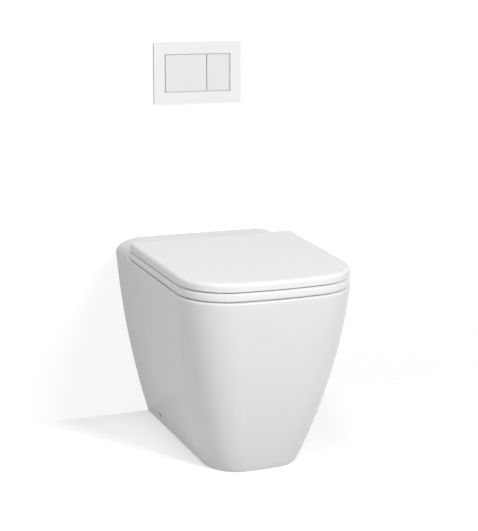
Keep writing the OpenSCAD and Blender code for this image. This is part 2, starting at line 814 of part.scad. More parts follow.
pipe_radius = pipe_width / 2;
inlet_flange = 33;
inlet_flange_thickness = 5;
inlet_grip = 32;
module inlet_connector() {
    color(rubber) difference() {
        union() {
            rod_y(inlet_radius - running, -inlet_setback - inlet_grip, -inlet_setback, 0,
                inlet_height);
            rod_y(inlet_flange, -inlet_setback, inlet_flange_thickness - inlet_setback, 0,
                inlet_height);
        }
        rod_y(pipe_radius + running, -inlet_setback - inlet_grip - 1,
            inlet_flange_thickness - inlet_setback + 1, 0, inlet_height);
    }
}

tank_back = tank_setback + tank_depth;
valve_y = tank_setback + tank_depth / 2;
tail_end = tank_bottom - 34;
pipe_top = tail_end - 2;
pipe_inset = 25;
module pipe_run(r, extra) {
    rod_y(r, -inlet_setback - pipe_inset - extra, valve_y - pipe_bend, 0, inlet_height);
    bend_yz(valve_y - pipe_bend, inlet_height + pipe_bend, pipe_bend, r, -90, 90);
    rod_z(r, inlet_height + pipe_bend, pipe_top + extra, 0, valve_y);
}

pipe_lip = 4;
pipe_lip_height = 5;
module flush_pipe() {
    color(off_white) difference() {
        union() {
            pipe_run(pipe_radius, 0);
            rod_z(pipe_radius + pipe_lip, pipe_top - pipe_lip_height, pipe_top, 0, valve_y);
        }
        pipe_run(pipe_radius - pipe_wall, 1);
    }
}

tail_radius = 28;
tail_bore = 23;
module pipe_gasket() {
    color(rubber) difference() {
        rod_z(pipe_radius + pipe_lip, pipe_top, tail_end, 0, valve_y);
        rod_z(tail_bore, pipe_top - 1, tail_end + 1, 0, valve_y);
    }
}

// The coupling nut holds the pipe's lip under the valve's tail
nut_wall = 5;
nut_rise = 14;
nut_lip = 4;
module coupling_nut() {
    low = pipe_top - pipe_lip_height - nut_lip;
    color(off_white) difference() {
        rod_z(tail_radius + nut_wall, low, tail_end + nut_rise, 0, valve_y);
        rod_z(pipe_radius + 0.5, low - 1, tail_end, 0, valve_y);
        rod_z(tail_radius + running, low + nut_lip, tail_end + nut_rise + 1, 0, valve_y);
        for (a = [0 : 30 : 330])
            translate([0, valve_y, low - 1])
                rotate([0, 0, a])
                    translate([tail_radius + nut_wall + 1, 0, 0])
                        cylinder(r = 2.5, h = tail_end + nut_rise - low + 2);
    }
}

// ---- Cistern ---------------------------------------------------------------------------------------

tank_corner = 18;
access_width = 190;
access_tall = 111;
valve_hole = tail_radius + 0.5;
shank_radius = 10.4;
shank_drop = 50;
shank_z = tank_top - shank_drop;
strap_x = 120;
strap_screw = 6;
strap_foot_rise = 60;
strap_head_drop = 70;
strap_screw_z = [tank_bottom + strap_foot_rise, tank_top - strap_head_drop];
module tank_block(inset, from, to) {
    translate([0, valve_y, from])
        linear_extrude(height = to - from)
            polygon(round_rect(tank_width - 2 * inset, tank_depth - 2 * inset,
                tank_corner - inset));
}

module cistern_tank() {
    color(off_white) difference() {
        tank_block(0, tank_bottom, tank_top);
        tank_block(tank_wall, tank_bottom + tank_wall, tank_top + 1);
        panel(access_width, access_tall, 3, tank_setback - 1, tank_setback + tank_wall + 1,
            plate_height);
        rod_z(valve_hole, tank_bottom - 1, tank_bottom + tank_wall + 1, 0, valve_y);
        rod_x(shank_radius + seated, -tank_width / 2 - 1, tank_wall + 1 - tank_width / 2, valve_y,
            shank_z);
        both_sides()
            for (z = strap_screw_z)
                rod_y(strap_screw / 2 + running, tank_back - tank_wall - 1, tank_back + 1,
                    strap_x, z);
        for (x = rivet_x)
            rod_y(rivet / 2 + running, tank_setback - 1, tank_setback + tank_wall + 1, x,
                rivet_z);
    }
}

cover_skirt = 14;
cover_thickness = 3;
module tank_cover() {
    color(off_white) difference() {
        tank_block(-cover_thickness - seated, tank_top - cover_skirt,
            tank_top + cover_thickness);
        tank_block(-seated, tank_top - cover_skirt - 1, tank_top);
        block([-strap_x - strap_width / 2 - 1, tank_back, tank_top - cover_skirt - 1],
            [strap_width / 2 + 1 - strap_x, tank_back + 10, tank_top + cover_thickness + 1]);
        block([strap_x - strap_width / 2 - 1, tank_back, tank_top - cover_skirt - 1],
            [strap_x + strap_width / 2 + 1, tank_back + 10, tank_top + cover_thickness + 1]);
    }
}

// Straps behind the cistern, with a hole each for the wall fixing above it
strap_width = 30;
strap_thickness = 3;
strap_rise = 60;
wall_hole = 9;
wall_hole_z = tank_top + strap_rise - 18;
module wall_straps() {
    color(steel) both_sides() difference() {
        translate([strap_x, 0, 0])
            panel(strap_width, tank_top + strap_rise - strap_screw_z[0] + 20, 5, tank_back,
                tank_back + strap_thickness,
                (tank_top + strap_rise + strap_screw_z[0] - 20) / 2);
        rod_y(wall_hole / 2, tank_back - 1, tank_back + strap_thickness + 1, strap_x,
            wall_hole_z);
        for (z = strap_screw_z)
            rod_y(strap_screw / 2 + running, tank_back - 1, tank_back + strap_thickness + 1,
                strap_x, z);
    }
}

module strap_screws() {
    inside = tank_back - tank_wall;
    color(steel) both_sides()
        for (z = strap_screw_z) {
            rod_y(strap_screw / 2, inside, tank_back + strap_thickness, strap_x, z);
            rod_y(strap_screw, inside - 3, inside, strap_x, z);
        }
}

// Distance of the bracket's web behind the wall's face
bracket_web = 6;

// The shroud lines the wall's opening from the cistern to the wall's face
shroud_gap = 0.3;
shroud_wall = 3;
shroud_flange = 8;
lug_x = access_width / 2 - 11;
lug_front = bracket_web + 3 + seated;
module access_shroud() {
    w = access_width - 2 * shroud_gap;
    h = access_tall - 2 * shroud_gap;
    color(grey_plastic) difference() {
        union() {
            panel(w, h, 3, 2, tank_setback + tank_wall, plate_height);
            panel(w + 2 * shroud_flange, h + 2 * shroud_flange, 3, tank_setback - 3,
                tank_setback, plate_height);
        }
        difference() {
            panel(w - 2 * shroud_wall, h - 2 * shroud_wall, 1, 1, tank_setback + tank_wall + 1,
                plate_height);
            both_sides()
                block([lug_x - 4, lug_front, plate_height - 7],
                    [access_width / 2, tank_setback, plate_height + 7]);
        }
        both_sides()
            rod_y(bracket_screw / 2 + running, 0, tank_setback + 1, lug_x, plate_height);
    }
}

// ---- Flush valve -----------------------------------------------------------------------------------

tank_floor = tank_bottom + tank_wall;
gasket_thickness = 2;
flange_radius = 42;
flange_thickness = 4;
flange_top = tank_floor + gasket_thickness + flange_thickness;
valve_seat_rise = 6;
valve_seat_z = flange_top + valve_seat_rise;
cage_rise = 100;
cage_top = tank_bottom + cage_rise;
cage_ring = 6;
cage_radius = 40;
tube_radius = 12;
tube_bore = 10;
half_rod = 6;
half_rod_x = 38;
module valve_body() {
    color(white) difference() {
        union() {
            rod_z(tail_radius, tail_end, flange_top, 0, valve_y);
            rod_z(flange_radius, tank_floor + gasket_thickness, flange_top, 0, valve_y);
            rod_z(tail_radius + 3, flange_top, valve_seat_z, 0, valve_y);
            difference() {
                rod_z(cage_radius, flange_top, cage_top, 0, valve_y);
                rod_z(cage_radius - 4, flange_top - 1, cage_top - cage_ring, 0, valve_y);
                for (a = [0, 90])
                    translate([0, valve_y, 0])
                        rotate([0, 0, a])
                            block([-cage_radius - 1, -22, flange_top + 3],
                                [cage_radius + 1, 22, cage_top - cage_ring - 4]);
            }
            rod_z(half_rod / 2 + 4, cage_top - cage_ring, cage_top, half_rod_x, valve_y);
        }
        rod_z(tail_bore, tail_end - 1, valve_seat_z + 1, 0, valve_y);
        rod_z(tube_radius + running, valve_seat_z, cage_top + 1, 0, valve_y);
        rod_z(half_rod / 2 + running, cage_top - cage_ring - 5, cage_top + 1, half_rod_x,
            valve_y);
        for (a = [60, 120, 240, 300])
            translate([0, valve_y, 0])
                rotate([0, 0, a])
                    translate([26, 0, cage_top - cage_ring - 1])
                        cylinder(r = 7, h = cage_ring + 2);
    }
}

module valve_gasket() {
    color(rubber) difference() {
        rod_z(flange_radius - 2, tank_floor, tank_floor + gasket_thickness, 0, valve_y);
        rod_z(tail_radius + running, tank_floor - 1, tank_floor + gasket_thickness + 1, 0,
            valve_y);
    }
}

valve_nut_height = 10;
module valve_nut() {
    color(white) difference() {
        rod_z(tail_radius + 9, tank_bottom - valve_nut_height, tank_bottom, 0, valve_y);
        rod_z(tail_radius + running, tank_bottom - valve_nut_height - 1, tank_bottom + 1, 0,
            valve_y);
        for (a = [0 : 45 : 315])
            translate([0, valve_y, tank_bottom - valve_nut_height - 1])
                rotate([0, 0, a])
                    translate([tail_radius + 10, 0, 0])
                        cylinder(r = 3.5, h = valve_nut_height - 2);
    }
}

// Levers turn on one pin; their lower arms stand in front of the push rods and their long
// arms lie under the hooks of the overflow tube and of the half flush rod
lever_setback = 22;
lever_y = tank_setback + lever_setback;
lever_drop = 14.3;
lever_z = plate_height + lever_drop;
lever_arm = 6;
lever_reach = 40;
lever_thickness = 4;
lever_hub = 6;
lever_pin_width = 4;
full_lever_x = -22;
half_lever_x = 32;
hook_bottom = lever_z + lever_arm / 2 + 0.4;
hook_height = 5;
hook_depth = 4;
seal_thickness = 3;
tube_disc = 31;
tube_foot = valve_seat_z + seated + seal_thickness;
tube_top = hook_bottom + hook_height + 3;
module overflow_tube() {
    color(grey_plastic) difference() {
        union() {
            rod_z(tube_radius, tube_foot, tube_top, 0, valve_y);
            rod_z(tube_disc, tube_foot, tube_foot + 3, 0, valve_y);
            block([full_lever_x - lever_thickness, valve_y - hook_depth / 2, hook_bottom],
                [0, valve_y + hook_depth / 2, hook_bottom + hook_height]);
        }
        rod_z(tube_bore, tube_foot - 1, tube_top + 1, 0, valve_y);
    }
}

module valve_seal() {
    color(rubber) difference() {
        rod_z(tube_disc + 1, valve_seat_z + seated, tube_foot, 0, valve_y);
        rod_z(tube_bore, valve_seat_z, tube_foot + 1, 0, valve_y);
    }
}

half_rod_foot = cage_top - 40;
half_rod_top = hook_bottom + hook_height;
module half_flush_rod() {
    color(blue_plastic) {
        rod_z(half_rod / 2, half_rod_foot, half_rod_top, half_rod_x, valve_y);
        rod_z(half_rod / 2 + 3, cage_top + seated, cage_top + 5, half_rod_x, valve_y);
        block([half_lever_x - lever_thickness, valve_y - hook_depth / 2, hook_bottom],
            [half_rod_x, valve_y + hook_depth / 2, half_rod_top]);
    }
}

// ---- Fill valve --------------------------------------------------------------------------------------

fill_inset = 42;
fill_x = fill_inset - tank_width / 2;
head_radius = 17;
head_tall = 44;
guide_radius = 8;
guide_rise = 70;
guide_bottom = tank_bottom + guide_rise;
float_stop_rise = 160;
float_stop_z = tank_bottom + float_stop_rise;
shank_flange = 16;
tank_side = -tank_width / 2;
shank_reach = 26;
shank_end = tank_side - shank_reach;
float_radius = 27;
float_tall = 60;
float_rod_offset = 22;
float_rod_x = fill_x + float_rod_offset;
float_rod = 4;
float_rod_depth = 20;
float_hollow_top = 30;
guide_lug = 5;
guide_lug_rise = 8;
guide_lug_z = shank_z + guide_lug_rise;
module fill_valve() {
    color(white) difference() {
        union() {
            rod_x(shank_radius, shank_end, fill_x, valve_y, shank_z);
            rod_x(shank_flange, tank_side + tank_wall + 2, tank_side + tank_wall + 5, valve_y,
                shank_z);
            rod_z(head_radius, shank_z - head_tall / 2, shank_z + head_tall / 2, fill_x, valve_y);
            rod_z(head_radius + 2, shank_z + head_tall / 2 - 10, shank_z + head_tall / 2 - 4,
                fill_x, valve_y);
            rod_z(guide_radius, guide_bottom, shank_z, fill_x, valve_y);
            rod_z(guide_radius + 5, float_stop_z - 5, float_stop_z, fill_x, valve_y);
            block([fill_x, valve_y - guide_lug, guide_lug_z],
                [float_rod_x + guide_lug, valve_y + guide_lug, guide_lug_z + guide_lug]);
        }
        rod_x(shank_radius - 3, shank_end - 1, fill_x, valve_y, shank_z);
        rod_z(guide_radius - 2, guide_bottom - 1, shank_z, fill_x, valve_y);
        rod_z(float_rod / 2 + running, guide_lug_z - 1, guide_lug_z + guide_lug + 1, float_rod_x,
            valve_y);
    }
}

module shank_washer() {
    color(rubber) difference() {
        rod_x(shank_flange - 1, tank_side + tank_wall, tank_side + tank_wall + 2, valve_y,
            shank_z);
        rod_x(shank_radius + running, tank_side + tank_wall - 1, tank_side + tank_wall + 3,
            valve_y, shank_z);
    }
}

shank_nut_width = 8;
module shank_nut() {
    color(off_white) difference() {
        hex_x(30, tank_side - shank_nut_width, tank_side, valve_y, shank_z);
        rod_x(shank_radius + running, tank_side - shank_nut_width - 1, tank_side + 1, valve_y,
            shank_z);
    }
}

float_top = float_stop_z + seated + float_tall;
module float_cup() {
    color(off_white) difference() {
        rod_z(float_radius, float_stop_z + seated, float_top, fill_x, valve_y);
        rod_z(guide_radius + 0.5, float_stop_z, float_top + 1, fill_x, valve_y);
        rod_z(float_rod / 2, float_top - float_rod_depth, float_top + 1, float_rod_x, valve_y);
        difference() {
            rod_z(float_radius - 2, float_stop_z, float_top - float_hollow_top, fill_x, valve_y);
            rod_z(guide_radius + 2.5, float_stop_z - 1, float_top, fill_x, valve_y);
        }
    }
}

module float_rod_piece() {
    color(steel)
        rod_z(float_rod / 2, float_top - float_rod_depth, guide_lug_z + 3 * guide_lug,
            float_rod_x, valve_y);
}

// Isolating valve on the shank, with its supply thread pointing down
union_length = 16;
union_from = shank_end - union_length;
supply_reach = 38;
supply_x = shank_end - supply_reach;
supply_end = shank_z - supply_reach;
supply_thread = 20.95;
supply_thread_length = 25;
valve_barrel = 13;
valve_collar = 12;
module union_nut() {
    color(brass_plate) difference() {
        hex_x(30, union_from, shank_end + 10, valve_y, shank_z);
        rod_x(shank_radius + running, shank_end, shank_end + 11, valve_y, shank_z);
        rod_x(9 + running, union_from - 1, shank_end + 1, valve_y, shank_z);
    }
}

stem_top = shank_z + 17;
module stop_valve() {
    color(brass_plate) difference() {
        union() {
            rod_x(9, supply_x, shank_end, valve_y, shank_z);
            rod_x(valve_barrel, supply_x - valve_barrel - 1, union_from - 1, valve_y, shank_z);
            rod_z(supply_thread / 2, supply_end, shank_z, supply_x, valve_y);
            rod_z(valve_collar, supply_end + supply_thread_length, shank_z, supply_x, valve_y);
            rod_z(5, shank_z, stem_top, supply_x, valve_y);
            rod_z(2, shank_z, stem_top + 8, supply_x, valve_y);
        }
        rod_x(6.5, supply_x, shank_end + 1, valve_y, shank_z);
        rod_z(6.5, supply_end - 1, shank_z + 2, supply_x, valve_y);
    }
}

handle_reach = 42;
module stop_handle() {
    color(blue_plastic) difference() {
        union() {
            rod_z(8, stem_top + seated, stem_top + 8, supply_x, valve_y);
            block([supply_x - 5, valve_y - handle_reach, stem_top + 3],
                [supply_x + 5, valve_y, stem_top + 7]);
            rod_z(5, stem_top + 3, stem_top + 7, supply_x, valve_y - handle_reach);
        }
        rod_z(2 + running, stem_top, stem_top + 9, supply_x, valve_y);
    }
}

// ---- Levers ---------------------------------------------------------------------------------------------

bracket_left = full_lever_x - 22;
bracket_right = half_lever_x + 18;
cheek = 3;
cheek_foot = lever_z - 8;
strip_z = lever_z + 22;
rivet = 4;
rivet_x = [bracket_left + 12, bracket_right - 12];
rivet_z = plate_height + access_tall / 2 + 14;
module lever_bracket() {
    inside = tank_setback + tank_wall;
    color(steel) difference() {
        union() {
            block([bracket_left, inside, strip_z], [bracket_right, inside + cheek, rivet_z + 7]);
            block([bracket_left, inside, strip_z], [bracket_right, lever_y + 8, strip_z + cheek]);
            for (x = [bracket_left, bracket_right - cheek])
                block([x, lever_y - 7, cheek_foot], [x + cheek, lever_y + 8, strip_z + cheek]);
        }
        rod_x(lever_pin_width / 2, bracket_left - 1, bracket_right + 1, lever_y, lever_z);
        for (x = rivet_x)
            rod_y(rivet / 2 + running, inside - 1, inside + cheek + 1, x, rivet_z);
    }
}

module bracket_rivets() {
    inside = tank_setback + tank_wall;
    color(steel)
        for (x = rivet_x) {
            rod_y(rivet / 2, tank_setback, inside + cheek, x, rivet_z);
            rod_y(rivet, tank_setback - 1.5, tank_setback, x, rivet_z);
            rod_y(rivet - 0.5, inside + cheek, inside + cheek + 1.2, x, rivet_z);
        }
}

module lever_pin() {
    color(steel)
        rod_x(lever_pin_width / 2, bracket_left, bracket_right, lever_y, lever_z);
}

lever_play = 0.3;
module spacer(from, to) {
    difference() {
        rod_x(lever_pin_width / 2 + 2, from, to, lever_y, lever_z);
        rod_x(lever_pin_width / 2 + running, from - 1, to + 1, lever_y, lever_z);
    }
}

module lever_spacers() {
    half = lever_thickness / 2 + lever_play;
    color(off_white) {
        spacer(bracket_left + cheek, full_lever_x - half);
        spacer(full_lever_x + half, half_lever_x - half);
        spacer(half_lever_x + half, bracket_right - cheek);
    }
}

module flush_lever(x) {
    translate([x - lever_thickness / 2, lever_y, lever_z])
        difference() {
            union() {
                rod_x(lever_hub, 0, lever_thickness, 0, 0);
                block([0, -lever_arm / 2, -lever_drop - 3], [lever_thickness, lever_arm / 2, 0]);
                block([0, 0, -lever_arm / 2], [lever_thickness, lever_reach, lever_arm / 2]);
                rod_x(lever_arm / 2, 0, lever_thickness, lever_reach, 0);
            }
            rod_x(lever_pin_width / 2 + running, -1, lever_thickness + 1, 0, 0);
        }
}

module full_lever() {
    color(white)
        flush_lever(full_lever_x);
}

module half_lever() {
    color(blue_plastic)
        flush_lever(half_lever_x);
}

// ---- Flush plate and buttons ---------------------------------------------------------------------------

plate_front = -plate_thickness;
plate_corner = 2;
plate_face = plate_thickness - 3 - seated;
plate_rim = 3;
module flush_plate() {
    color(white) difference() {
        panel(plate_width, plate_tall, plate_corner, plate_front, 0, plate_height);
        panel(plate_width - 2 * plate_rim, plate_tall - 2 * plate_rim, 1,
            plate_front + plate_face, 1, plate_height);
        panel(field_width, field_tall, 0.5, plate_front - 1, 1, plate_height);
    }
}

// The bracket lies on the wall's face inside the plate, with a tray that holds the buttons'
// guides
tray_wall = 2.5;
tray_gap = 0.7;
bracket_screw = 4;
stem_radius = 5;
tray_width = access_width - 2 * shroud_gap - 2 * shroud_wall - 2 * tray_gap;
tray_tall = access_tall - 2 * shroud_gap - 2 * shroud_wall - 2 * tray_gap;
full_stem_x = full_lever_x - 20;
half_stem_x = half_lever_x + 16;
push_rod = 4;
bracket_screw_reach = 22;
slot_from = 22;
slot_to = 72;
slot_rise = 30;
slot_half = 8;
module plate_bracket() {
    color(grey_plastic) difference() {
        union() {
            panel(plate_width - 2 * plate_rim - 1, plate_tall - 2 * plate_rim - 1, 1, -3, 0,
                plate_height);
            panel(tray_width, tray_tall, 2, -1, bracket_web + 3, plate_height);
        }
        panel(tray_width - 2 * tray_wall, tray_tall - 2 * tray_wall, 1, -4, bracket_web,
            plate_height);
        for (x = [full_stem_x, half_stem_x])
            rod_y(stem_radius + running, -1, bracket_web + 4, x, plate_height);
        for (x = [full_lever_x, half_lever_x])
            rod_y(push_rod / 2 + 1, -1, bracket_web + 4, x, plate_height);
        both_sides() {
            rod_y(bracket_screw / 2 + running, -1, bracket_web + 4, lug_x, plate_height);
            for (side = [-1, 1])
                block([slot_from, bracket_web - 1, plate_height + side * slot_rise - slot_half],
                    [slot_to, bracket_web + 4, plate_height + side * slot_rise + slot_half]);
        }
    }
}

module bracket_screws() {
    color(steel) both_sides() {
        rod_y(bracket_screw / 2, bracket_web, bracket_web + bracket_screw_reach, lug_x, plate_height);
        rod_y(bracket_screw * 0.85, bracket_web - 2.2, bracket_web, lug_x, plate_height);
    }
}

// A button is a shallow cap with a guide stem and a boss for its push rod
button_wall = 2;
button_front = plate_front + button_recess;
button_back = button_front + button_wall;
stem_reach = bracket_web + 5;
boss_radius = 3.5;
boss_end = 0.5;
module flush_button(low_x, high_x, stem_x, rod_x_at) {
    w = high_x - low_x - 2 * button_gap;
    h = field_tall - 2 * button_gap;
    difference() {
        union() {
            translate([(low_x + high_x) / 2, 0, 0])
                panel(w, h, 0.5, button_front, 0, plate_height);
            rod_y(stem_radius, button_back, stem_reach, stem_x, plate_height);
            rod_y(boss_radius, button_back, boss_end, rod_x_at, plate_height);
        }
        difference() {
            translate([(low_x + high_x) / 2, 0, 0])
                panel(w - 3, h - 3, 0.3, button_back, 1, plate_height);
            rod_y(stem_radius, button_front, stem_reach + 1, stem_x, plate_height);
            rod_y(boss_radius, button_front, 2, rod_x_at, plate_height);
        }
        rod_y(push_rod / 2, button_back, boss_end + 1, rod_x_at, plate_height);
    }
}

divider_x = full_share - field_width / 2;
module full_button() {
    color(off_white)
        flush_button(-field_width / 2, divider_x, full_stem_x, full_lever_x);
}

module half_button() {
    color(off_white)
        flush_button(divider_x, field_width / 2, half_stem_x, half_lever_x);
}

push_rod_end = lever_y - lever_arm / 2 - seated;
module push_rod_piece(x) {
    rod_y(push_rod / 2, button_back, push_rod_end, x, plate_height);
}

module full_push_rod() {
    color(steel)
        push_rod_piece(full_lever_x);
}

module half_push_rod() {
    color(steel)
        push_rod_piece(half_lever_x);
}

// Springs round the guide stems, between the buttons and the bracket's web
spring_wire = 0.8;
spring_turns = 3;
spring_steps = 14;
spring_sides = 6;
spring_radius = stem_radius + 1.2;
module button_spring(x) {
    span = bracket_web - button_back - spring_wire - 0.2;
    count = spring_turns * spring_steps;
    rings = [for (i = [0 : count]) let (a = 360 * i / spring_steps,
            y = button_back + 0.1 + spring_wire / 2 + span * i / count)
        [for (k = [0 : spring_sides - 1]) let (b = 360 * k / spring_sides,
                r = spring_radius + spring_wire / 2 * cos(b))
            [x + r * cos(a), y + spring_wire / 2 * sin(b), plate_height + r * sin(a)]]];
    ends = len(rings) * spring_sides;
    polyhedron(
        points = [for (r = rings) each r],
        faces = concat(rows_faces(len(rings), spring_sides, 0),
            [[for (k = [0 : spring_sides - 1]) k]],
            [[for (k = [spring_sides - 1 : -1 : 0]) ends - spring_sides + k]]));
}

module full_spring() {
    color(steel)
        button_spring(full_stem_x);
}

module half_spring() {
    color(steel)
        button_spring(half_stem_x);
}

pan();
seat();
lid();
seat_buffers();
lid_buffers();
hinge_posts();
hinge_pins();
post_gaskets();
fixing_studs();
stud_washers();
wing_nuts();
floor_blocks();
side_screws();
side_caps();
outlet_connector();
outlet_seal();
inlet_connector();
flush_pipe();
pipe_gasket();
coupling_nut();
cistern_tank();
tank_cover();
wall_straps();
strap_screws();
access_shroud();
valve_body();
valve_gasket();
valve_nut();
overflow_tube();
valve_seal();
half_flush_rod();
fill_valve();
shank_washer();
shank_nut();
float_cup();
float_rod_piece();  // float_rod
union_nut();
stop_valve();
stop_handle();
lever_bracket();
bracket_rivets();
lever_pin();
lever_spacers();
full_lever();
half_lever();
plate_bracket();
bracket_screws();
flush_plate();
full_button();
half_button();
full_push_rod();
half_push_rod();
full_spring();
half_spring();
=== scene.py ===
import bpy
import json
import math
import numpy as np
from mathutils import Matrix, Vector

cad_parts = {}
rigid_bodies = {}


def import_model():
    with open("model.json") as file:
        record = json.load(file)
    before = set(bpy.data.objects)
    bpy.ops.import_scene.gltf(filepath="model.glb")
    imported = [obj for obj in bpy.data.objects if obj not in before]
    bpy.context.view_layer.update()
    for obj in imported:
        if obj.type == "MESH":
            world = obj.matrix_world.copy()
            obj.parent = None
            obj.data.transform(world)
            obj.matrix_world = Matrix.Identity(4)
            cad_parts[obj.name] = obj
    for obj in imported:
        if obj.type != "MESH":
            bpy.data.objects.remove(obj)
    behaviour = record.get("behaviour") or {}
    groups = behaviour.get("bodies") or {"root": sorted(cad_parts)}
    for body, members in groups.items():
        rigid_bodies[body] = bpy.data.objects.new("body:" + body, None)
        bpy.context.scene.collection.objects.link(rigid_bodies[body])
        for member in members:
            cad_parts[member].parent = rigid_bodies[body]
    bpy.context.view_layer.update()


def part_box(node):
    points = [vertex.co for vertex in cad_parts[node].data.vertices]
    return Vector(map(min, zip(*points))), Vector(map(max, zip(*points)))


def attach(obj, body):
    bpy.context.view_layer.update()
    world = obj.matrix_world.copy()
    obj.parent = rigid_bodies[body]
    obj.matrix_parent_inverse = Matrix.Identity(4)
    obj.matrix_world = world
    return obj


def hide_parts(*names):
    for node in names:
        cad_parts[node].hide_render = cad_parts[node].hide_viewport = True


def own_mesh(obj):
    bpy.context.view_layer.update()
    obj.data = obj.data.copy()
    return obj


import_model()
print("frame loaded")

# Sizes are in millimetres; the meshes are turned into metres when they are made
china = {
    "rimHeight": 400, "rimDepth": 551, "rimWidth": 404, "rimFrontWidth": 378,
    "rimCornerWidth": 109, "rimCornerLength": 117,
    "footDepth": 435, "footWidth": 257, "footFrontWidth": 214,
    "footCornerWidth": 72, "footCornerLength": 84,
    "bulge": 4, "bulgeAtFoot": 0.25, "bow": 0.59, "wall": 12,
    "deckRise": 28, "deckDepth": 94, "deckUnder": 15, "deckSink": 0.2, "deckSinkAtBack": 3,
    "shoulderWidth": 67, "shoulderHeight": 31,
    "backRound": 3, "topBackRound": 7, "leastRound": 0.25, "footRound": 2, "rimRound": 5,
    "deckRound": 3.5, "deckBackRound": 2.0,
}
bowl = {
    "centre": 337, "length": 330, "width": 256, "edge": 8, "wall": 11,
    "sumpRadius": 38, "sumpHalfWidth": 36, "sumpTop": 125, "sumpFloor": 55,
    "fall": 1.6, "fullness": 0.85,
}
# Points of an outline along each stretch of its right half
columns = {"back": 8, "backCorner": 7, "side": 24, "frontCorner": 34, "front": 8}


def lerp(a, b, t):
    return a + (b - a) * t


# Share of the way from the foot's outline to the rim's: a slope with a soft bow, which goes on
# a tenth above the rim for the deck
def flare(z):
    t = np.clip(z / china["rimHeight"], 0, 1.1)
    return t * (1 + china["bow"] * (1 - t))


# Half widths at the wall and at the front, width and length of the front corner, depth, and how
# far the front swells out
def skirtSizes(z):
    s = flare(z)
    c = china
    return (lerp(c["footWidth"], c["rimWidth"], s) / 2,
            lerp(c["footFrontWidth"], c["rimFrontWidth"], s) / 2,
            lerp(c["footCornerWidth"], c["rimCornerWidth"], s),
            lerp(c["footCornerLength"], c["rimCornerLength"], s),
            lerp(c["footDepth"], c["rimDepth"], s),
            c["bulge"] * lerp(c["bulgeAtFoot"], 1, s))


# Half width of the skirt at a height and a distance from the wall, a straight taper
def halfWidth(z, y):
    atBack, atFront, _, long, deep, bulge = skirtSizes(z)
    return lerp(atBack, atFront, y / (deep - bulge - long))


# Closed outlines, one row for each height: straight back, round back corner, tapered side,
# elliptical front corner and slightly swollen front; the left half mirrors the right one
def outline(z, inset, back, radius):
    z = np.asarray(z, float).reshape(-1, 1)
    inset = np.broadcast_to(np.asarray(inset, float).reshape(-1, 1), z.shape)
    atBack, atFront, wide, long, deep, bulge = skirtSizes(z)
    end = deep - bulge - long
    r = np.maximum(radius - inset, china["leastRound"])
    turnY = back + inset + r
    sideX = lerp(atBack, atFront, turnY / end) - inset
    n = columns
    t = np.arange(n["back"])[None] / n["back"]
    xs, ys = [(sideX - r) * t], [np.broadcast_to(back + inset, (len(z), n["back"]))]
    a = np.arange(n["backCorner"])[None] / n["backCorner"] * np.pi / 2
    xs.append(sideX - r + r * np.sin(a))
    ys.append(turnY - r * np.cos(a))
    t = np.arange(n["side"])[None] / n["side"]
    y = lerp(turnY, end, t)
    xs.append(lerp(sideX, atFront - inset, t))
    ys.append(y)
    a = np.arange(n["frontCorner"])[None] / n["frontCorner"] * np.pi / 2
    xs.append(atFront - wide + (wide - inset) * np.cos(a))
    ys.append(end + (long - inset) * np.sin(a))
    u = 1 - np.arange(n["front"] + 1)[None] / n["front"]
    xs.append((atFront - wide) * u)
    ys.append(deep - inset - bulge * u * u)
    x, y = np.hstack(xs), -np.hstack(ys)
    return np.stack([np.hstack([x, -x[:, -2:0:-1]]), np.hstack([y, y[:, -2:0:-1]])], 2)


# Ellipses round a middle on the centreline, with a point in the direction of each point of the
# guide's outline
def oval(guide, centre, halfLong, halfWide):
    halfLong = np.asarray(halfLong, float).reshape(-1, 1)
    halfWide = np.asarray(halfWide, float).reshape(-1, 1)
    a = np.arctan2(guide[:, 0], guide[:, 1] + centre)[None]
    r = 1 / np.sqrt((np.cos(a) / halfLong) ** 2 + (np.sin(a) / halfWide) ** 2)
    return np.stack([r * np.sin(a), -centre + r * np.cos(a)], 2)


# Flat rings put at their heights
def atHeights(rings, z):
    z = np.broadcast_to(np.asarray(z, float).reshape(-1, 1), rings.shape[:2])
    return np.dstack([rings, z])


# Quads between the rows of a grid; the columns run round, and the rows too if closed
def gridFaces(rows, cols, closed=False):
    r = np.arange(rows if closed else rows - 1)[:, None]
    c = np.arange(cols)[None]
    r2, c2 = (r + 1) % rows, (c + 1) % cols
    q = np.stack([r * cols + c, r2 * cols + c, r2 * cols + c2, r * cols + c2], -1)
    return q.reshape(-1, 4)


# Triangles from a pole to a ring of points
def fan(pole, start, cols, flipped):
    c = np.arange(cols)
    a, b = start + c, start + (c + 1) % cols
    first = np.full(cols, pole)
    return np.stack([first, b, a], 1) if flipped else np.stack([first, a, b], 1)


# Six times the volume inside quads and triangles: negative where the faces look inwards
def signedVolume(points, quads, tris):
    three = np.vstack([quads[:, [0, 1, 2]], quads[:, [0, 2, 3]], tris])
    a, b, c = (points[three[:, i]] for i in range(3))
    return np.einsum("ij,ij->", a, np.cross(b, c))


